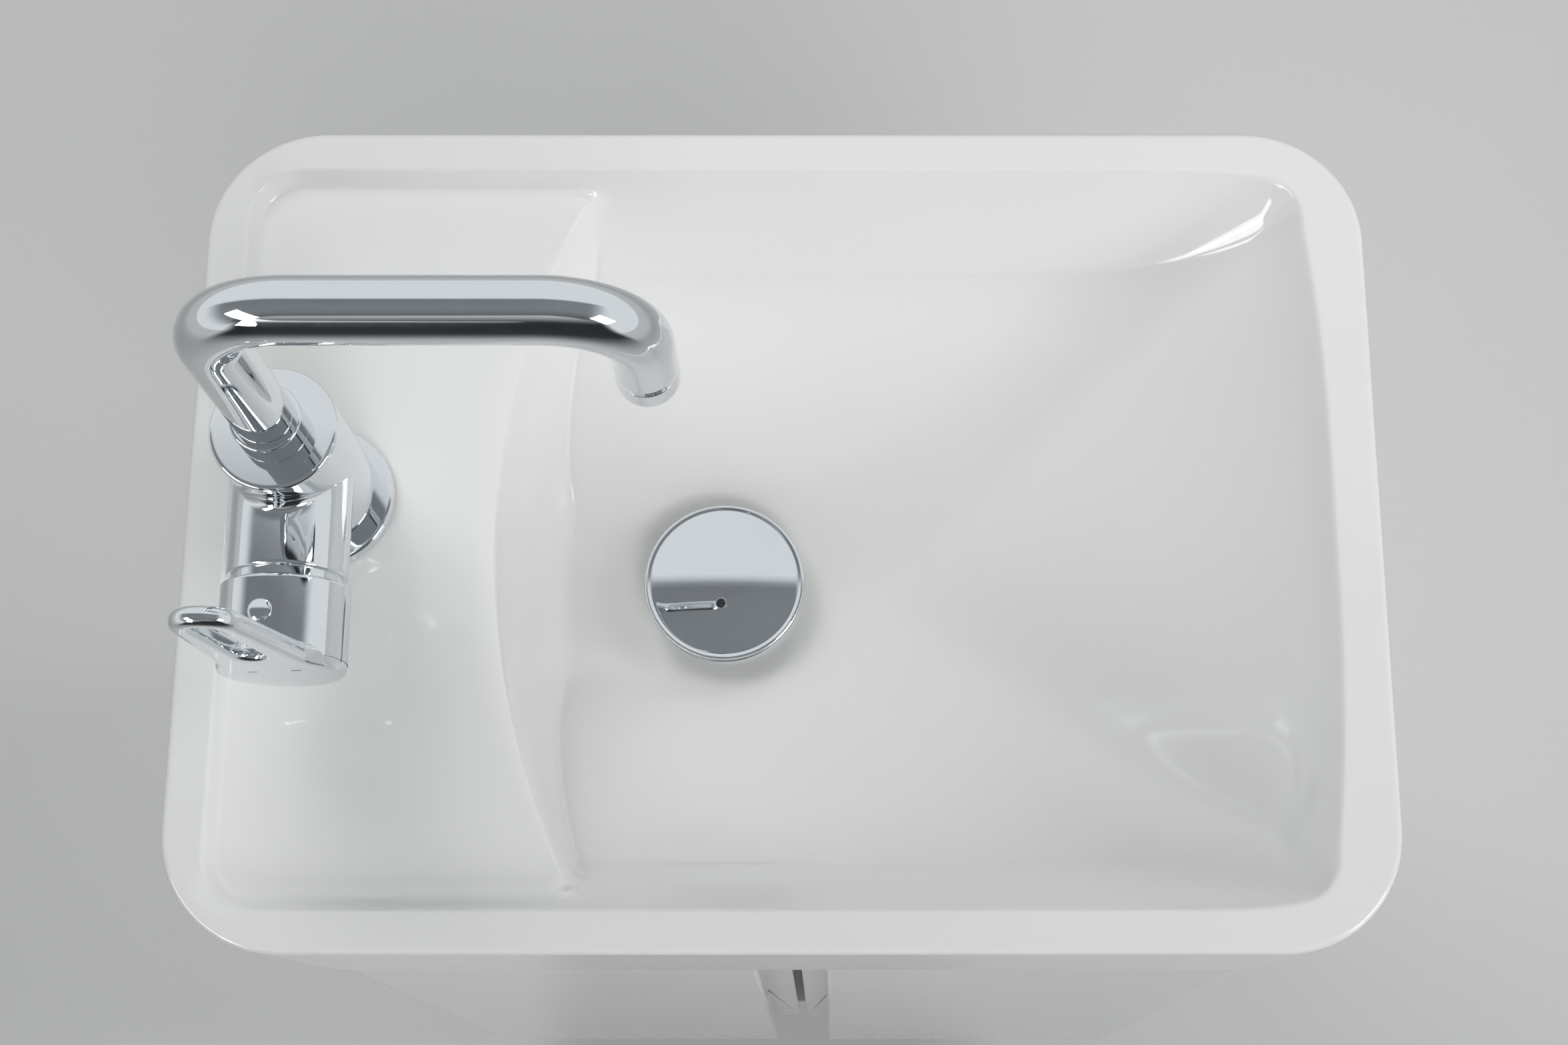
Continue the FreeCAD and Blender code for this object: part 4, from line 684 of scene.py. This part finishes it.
class VANITY_OT_spout(Operator):
    """Makes the swivelling spout and the aerator's housing at its outlet."""

    bl_idname = "vanity.spout"
    bl_label = "Spout"

    def execute(self, context):
        tap = context.scene.vanity_tap
        piece("spout_tube", [(spout_grid(tap), TURNED)], "spout", "chrome", ("spout",))
        sleeve_wall = 0.0017
        low, high = AERATOR_LOW[2], AERATOR_HIGH[2]
        bore, middle = tap.tube - sleeve_wall, (low + high) / 2
        sleeve = softened([(bore, middle), (bore, high), (tap.tube, high), (tap.tube, low), (bore, low),
                           (bore, middle)], (0.0003, 0.0005, 0.0008, 0.0004))
        turned_chrome("aerator_sleeve", sleeve, (OUTLET_X, TAP_Y, 0.0), "spout", "aerator_housing")
        return {"FINISHED"}


class VANITY_OT_lever(Operator):
    """Makes the lever's cap with its slotted loop, and the domed plug over its screw."""

    bl_idname = "vanity.lever"
    bl_label = "Lever"

    def execute(self, context):
        tap = context.scene.vanity_tap
        inside_box, bore, bore_depth, lap = 0.00005, 0.017, 0.004, 0.003
        low, high = corners("lever")
        end, start = low[1] + inside_box, high[1]
        loop = loop_grid(tap, end, end + tap.plate)
        cap = softened([(bore, -start - bore_depth), (bore, -start), (tap.cap, -start),
                        (tap.cap, -end - tap.plate + lap)], (0.0004, 0.0009))
        piece("lever_loop", [(loop, RING), (turned(cap, (TAP_X, 0.0, CARTRIDGE_Z), TOWARDS_ROOM), TURNED)],
              "lever", "chrome", ("lever",))
        sunk, side, rise = 0.0012, 0.0006, 0.0006
        plug_low, plug_high = corners("lever_screw_plug")
        middle = (plug_low[1] + plug_high[1]) / 2
        radius = (plug_high[1] - plug_low[1]) / 2
        base, crown = tap.cap - sunk, tap.cap + rise
        turn = np.linspace(0, QUARTER, 9)
        dome = np.stack((radius * np.cos(turn), base + side + (crown - base - side) * np.sin(turn)), -1)
        dome = np.concatenate(([[0.0, base], [radius, base]], dome))
        plug = leaned(turned(dome, (TAP_X, middle, CARTRIDGE_Z), UPRIGHT, 48), tap)
        piece("lever_plug_dome", [(plug, TURNED)], "lever", "chrome", ("lever_screw_plug",))
        return {"FINISHED"}


class VANITY_OT_waste(Operator):
    """Makes the waste's domed push cap."""

    bl_idname = "vanity.waste"
    bl_label = "Waste cap"

    def execute(self, context):
        waste = context.scene.vanity_waste
        chamfer, swell = 0.001, 0.0006
        low, high = CAP_LOW[2], CAP_HIGH[2]
        run = np.linspace(1, 0, 26)
        dome = np.stack(((waste.radius - waste.edge) * run, high - waste.crown * run ** 2), -1)
        side = softened([(0.0, low), (waste.radius - chamfer, low), (waste.radius, low + chamfer),
                         (waste.radius, high - waste.crown + swell), dome[0]], (0.0004, 0.0004, 0.0018))
        profile = np.concatenate((side[:-1], dome))
        turned_chrome("waste_dome", profile, (DRAIN_X, DRAIN_Y, 0.0), "waste_plug", "plug_cap", 144)
        return {"FINISHED"}


class VANITY_OT_cabinet(Operator):
    """Eases the edges of the boards, doors and grip strips, which keep their CAD shape."""

    bl_idname = "vanity.cabinet"
    bl_label = "Cabinet edges"

    def execute(self, context):
        for name, ease in EASED_EDGES.items():
            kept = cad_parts[name]
            weld = kept.modifiers.new("weld", "WELD")
            weld.merge_threshold = CAD_WELD
            bevel = kept.modifiers.new("eased_edges", "BEVEL")
            bevel.width = ease
            bevel.segments = 3
            bevel.limit_method = "ANGLE"
            bevel.angle_limit = math.radians(40)
            bevel.harden_normals = True
        return {"FINISHED"}


def aim(made, target):
    """Turns a lamp so that it shines from where it is to the target."""
    way = np.asarray(target, float) - np.asarray(made.location, float)
    flat = math.hypot(way[0], way[1])
    made.rotation_euler = (math.atan2(flat, -way[2]), 0.0, math.atan2(-way[0], way[1]))


def soft_box(name, place, target, size, power, mirrored=False, spread=180):
    """A soft box, which either lights the object or is only mirrored in its polished and glazed pieces.
    A spread under 180 degrees makes a pool of light, as a grid in front of the box does."""
    lamp = bpy.data.lights.new(name, "AREA")
    lamp.shape = "RECTANGLE"
    lamp.size, lamp.size_y = size
    lamp.energy = power
    lamp.spread = math.radians(spread)
    made = bpy.data.objects.new(name, lamp)
    made.location = place
    made.visible_glossy, made.visible_diffuse = mirrored, not mirrored
    aim(made, target)
    bpy.context.scene.collection.objects.link(made)


def stage_sheet(name, points, rgb, rough):
    """A sheet of the stage on a grid of points, with a faint procedural mottle."""
    rows, columns = points.shape[:2]
    mesh = bpy.data.meshes.new(name)
    mesh.from_pydata(points.reshape(-1, 3), [], quads_of(np.arange(rows * columns).reshape(rows, columns)))
    paint = finish(name + "_paint", rgb, dimmed(rgb, 0.02), 0.8, 30, (rough, rough + 0.1), (0.02, 0.001))
    mesh.materials.append(paint)
    made = bpy.data.objects.new(name, mesh)
    bpy.context.scene.collection.objects.link(made)
    return made


def faded(share, width):
    """A smooth step up over that share of a strip's width at its start, and down again at its end."""
    rise = np.clip(np.minimum(share, 1 - share) / width, 0, 1)
    return rise * rise * (3 - 2 * rise)


def dark_screen(name, points, rgb, fade):
    """A bent sheet that only reflections see, so that polished metal has something dark to mirror. Towards
    its edges it fades out as a smooth step, over one share of its rows and another of its columns."""
    made = stage_sheet(name, points, rgb, 0.8)
    rows, columns = (faded(np.linspace(0, 1, count), width) for count, width in zip(points.shape, fade))
    step = rows[:, None] * columns[None]
    mask = made.data.attributes.new("mask", "FLOAT", "POINT")
    mask.data.foreach_set("value", step.astype(np.float32).ravel())
    tree = made.data.materials[0].node_tree
    held = node(tree, "ShaderNodeAttribute", {}, attribute_name="mask")
    clear = node(tree, "ShaderNodeBsdfTransparent", {})
    mixed = node(tree, "ShaderNodeMixShader", {0: held.outputs["Fac"], 1: clear.outputs["BSDF"],
                                               2: tree.nodes["Principled BSDF"].outputs["BSDF"]})
    tree.links.new(mixed.outputs["Shader"], tree.nodes["Material Output"].inputs["Surface"])
    for flag in ("visible_camera", "visible_diffuse", "visible_shadow", "visible_transmission"):
        setattr(made, flag, False)


def front_sheet(t, across):
    """A wide sheet in front of the object, from the floor up: with the share t of its height it bows away
    from the object by a sine and leans over towards it."""
    half_width, near, bow, lean, foot, height = 1.9, 0.9, 0.8, 0.35, 0.03, 2.4
    return np.stack((half_width * (2 * across - 1), lean * t - bow * np.sin(t * TAU / 2) - near,
                     foot + height * t), -1)


def overhead_sheet(t, across):
    """A vault over the object: part of a round about a line from front to back, along which t runs."""
    radius, axis_height, start, turn, front, depth = 2.0, 0.9, -0.22, 0.38, -1.5, 2.13
    angle = TAU * (start + turn * across)
    return np.stack((radius * np.sin(angle), front + depth * t, axis_height + radius * np.cos(angle)), -1)


def looked_at(tree):
    """A socket that is 1 where the camera, a reflection or glass looks, and 0 where light is gathered."""
    rays = node(tree, "ShaderNodeLightPath", {})
    seen = rays.outputs["Is Camera Ray"]
    for kind in ("Is Glossy Ray", "Is Transmission Ray"):
        seen = node(tree, "ShaderNodeMath", {0: seen, 1: rays.outputs[kind]}, operation="MAXIMUM").outputs[0]
    return seen


def pale_far(ground, lift):
    """Makes the floor as pale as the backdrop away from the object, where the lamps no longer reach: the
    lift is a smooth step of the distance, and no light comes from it."""
    near, far_off = 1.0, 4.5
    tree = ground.data.materials[0].node_tree
    place = node(tree, "ShaderNodeTexCoord", {})
    far = node(tree, "ShaderNodeVectorMath", {0: place.outputs["Object"]}, operation="LENGTH")
    step = node(tree, "ShaderNodeMapRange", {"Value": far.outputs["Value"], "From Min": near,
                                             "From Max": far_off, "To Max": lift},
                interpolation_type="SMOOTHSTEP")
    glow = node(tree, "ShaderNodeMath", {0: step.outputs["Result"], 1: looked_at(tree)}, operation="MULTIPLY")
    paint = tree.nodes["Principled BSDF"]
    paint.inputs["Emission Color"].default_value = (1.0, 1.0, 1.0, 1.0)
    tree.links.new(glow.outputs[0], paint.inputs["Emission Strength"])


def studio_world(stage):
    """Even light all round, and a paler backdrop where the camera, a reflection or glass looks at it."""
    world = bpy.data.worlds.new("studio")
    world.use_nodes = True
    tree = world.node_tree
    level = node(tree, "ShaderNodeMapRange", {"Value": looked_at(tree), "To Min": stage.sky,
                                              "To Max": stage.backdrop})
    sky = tree.nodes["Background"]
    sky.inputs["Color"].default_value = (0.96, 0.985, 1.0, 1.0)
    tree.links.new(level.outputs["Result"], sky.inputs["Strength"])
    bpy.context.scene.world = world


class VANITY_OT_stage(Operator):
    """Makes the plain pale floor, the soft boxes, the two sheets that polished metal mirrors, and the
    camera at the photograph's angle."""

    bl_idname = "vanity.stage"
    bl_label = "Stage"

    def execute(self, context):
        stage = context.scene.vanity_stage
        half = stage.floor_size / 2
        span = np.linspace(-half, half, 3)
        across, along = np.meshgrid(span, span, indexing="ij")
        ground = stage_sheet("floor", np.stack((across, along, np.zeros_like(across)), -1), stage.floor, 0.6)
        pale_far(ground, stage.floor_lift)

        share = np.linspace(0, 1, 33)
        t, across = np.meshgrid(share, share, indexing="ij")
        dark_screen("dark_screen", front_sheet(t, across), (0.04, 0.042, 0.046), (0.3, 0.15))
        dark_screen("grey_vault", overhead_sheet(t, across), (0.48, 0.50, 0.53), (0.085, 0.15))
        studio_world(stage)
        soft_box("key_box", (0.55, -0.9, 2.3), (0.1, 0.35, 0.87), (1.2, 0.9), stage.key, spread=48)
        soft_box("front_box", (0.2, -1.7, 1.5), (0.0, 0.1, 0.86), (1.6, 0.5), stage.front)
        soft_box("right_box", (1.7, 0.1, 1.7), (-0.1, 0.0, 0.86), (0.8, 0.8), stage.right)
        soft_box("back_box", (-0.7, 1.0, 2.0), (-0.05, 0.1, 0.86), (0.9, 0.9), stage.back)
        soft_box("left_box", (-1.21, -0.68, 1.99), (0.18, 0.12, 0.85), (0.95, 0.40), stage.side * 1.4, True)
        soft_box("left_lamp", (-0.78, -1.36, 1.72), (0.1, 0.05, 0.84), (1.00, 0.60), stage.side * 2.1, True)
        soft_box("right_lamp", (1.10, -0.60, 1.75), (0.0, 0.05, 0.95), (0.45, 0.45), stage.side, True)

        lens = bpy.data.cameras.new("camera")
        lens.lens = stage.lens
        lens.sensor_width = SENSOR_WIDTH
        lens.shift_x = CAMERA_SHIFT
        lens.clip_start = 0.01
        made = bpy.data.objects.new("camera", lens)
        made.location = CAMERA_PLACE
        made.rotation_euler = (stage.tilt, 0.0, 0.0)
        context.scene.collection.objects.link(made)
        context.scene.camera = made
        context.scene.view_settings.view_transform = "Standard"
        return {"FINISHED"}


OPERATORS = (VANITY_OT_finishes, VANITY_OT_basin, VANITY_OT_tap, VANITY_OT_spout, VANITY_OT_lever,
             VANITY_OT_waste, VANITY_OT_cabinet, VANITY_OT_stage)
SETTINGS = {"vanity_basin": BasinSizes, "vanity_tap": TapSizes, "vanity_waste": WasteSizes,
            "vanity_colours": FinishColours, "vanity_stage": StageSettings}


class VANITY_PT_sidebar(Panel):
    """Lists the steps and the sizes and colours that they use."""

    bl_idname = "VANITY_PT_sidebar"
    bl_label = "Vanity unit"
    bl_space_type = "VIEW_3D"
    bl_region_type = "UI"
    bl_category = "Vanity"

    def draw(self, context):
        for operator in OPERATORS:
            self.layout.operator(operator.bl_idname)
        for name, group in SETTINGS.items():
            box = self.layout.box()
            for key in group.__annotations__:
                box.prop(getattr(context.scene, name), key)


def register():
    """Registers the settings, the operators and the panel."""
    for made in (*SETTINGS.values(), *OPERATORS, VANITY_PT_sidebar):
        bpy.utils.register_class(made)
    for name, group in SETTINGS.items():
        setattr(bpy.types.Scene, name, PointerProperty(type=group))


def unregister():
    """Takes the settings, the operators and the panel away again."""
    for name in SETTINGS:
        delattr(bpy.types.Scene, name)
    for made in reversed((*SETTINGS.values(), *OPERATORS, VANITY_PT_sidebar)):
        bpy.utils.unregister_class(made)


def main():
    """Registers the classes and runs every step."""
    register()
    bpy.ops.vanity.finishes()
    bpy.ops.vanity.basin()
    bpy.ops.vanity.tap()
    bpy.ops.vanity.spout()
    bpy.ops.vanity.lever()
    bpy.ops.vanity.waste()
    bpy.ops.vanity.cabinet()
    bpy.ops.vanity.stage()


if __name__ == "__main__":
    main()
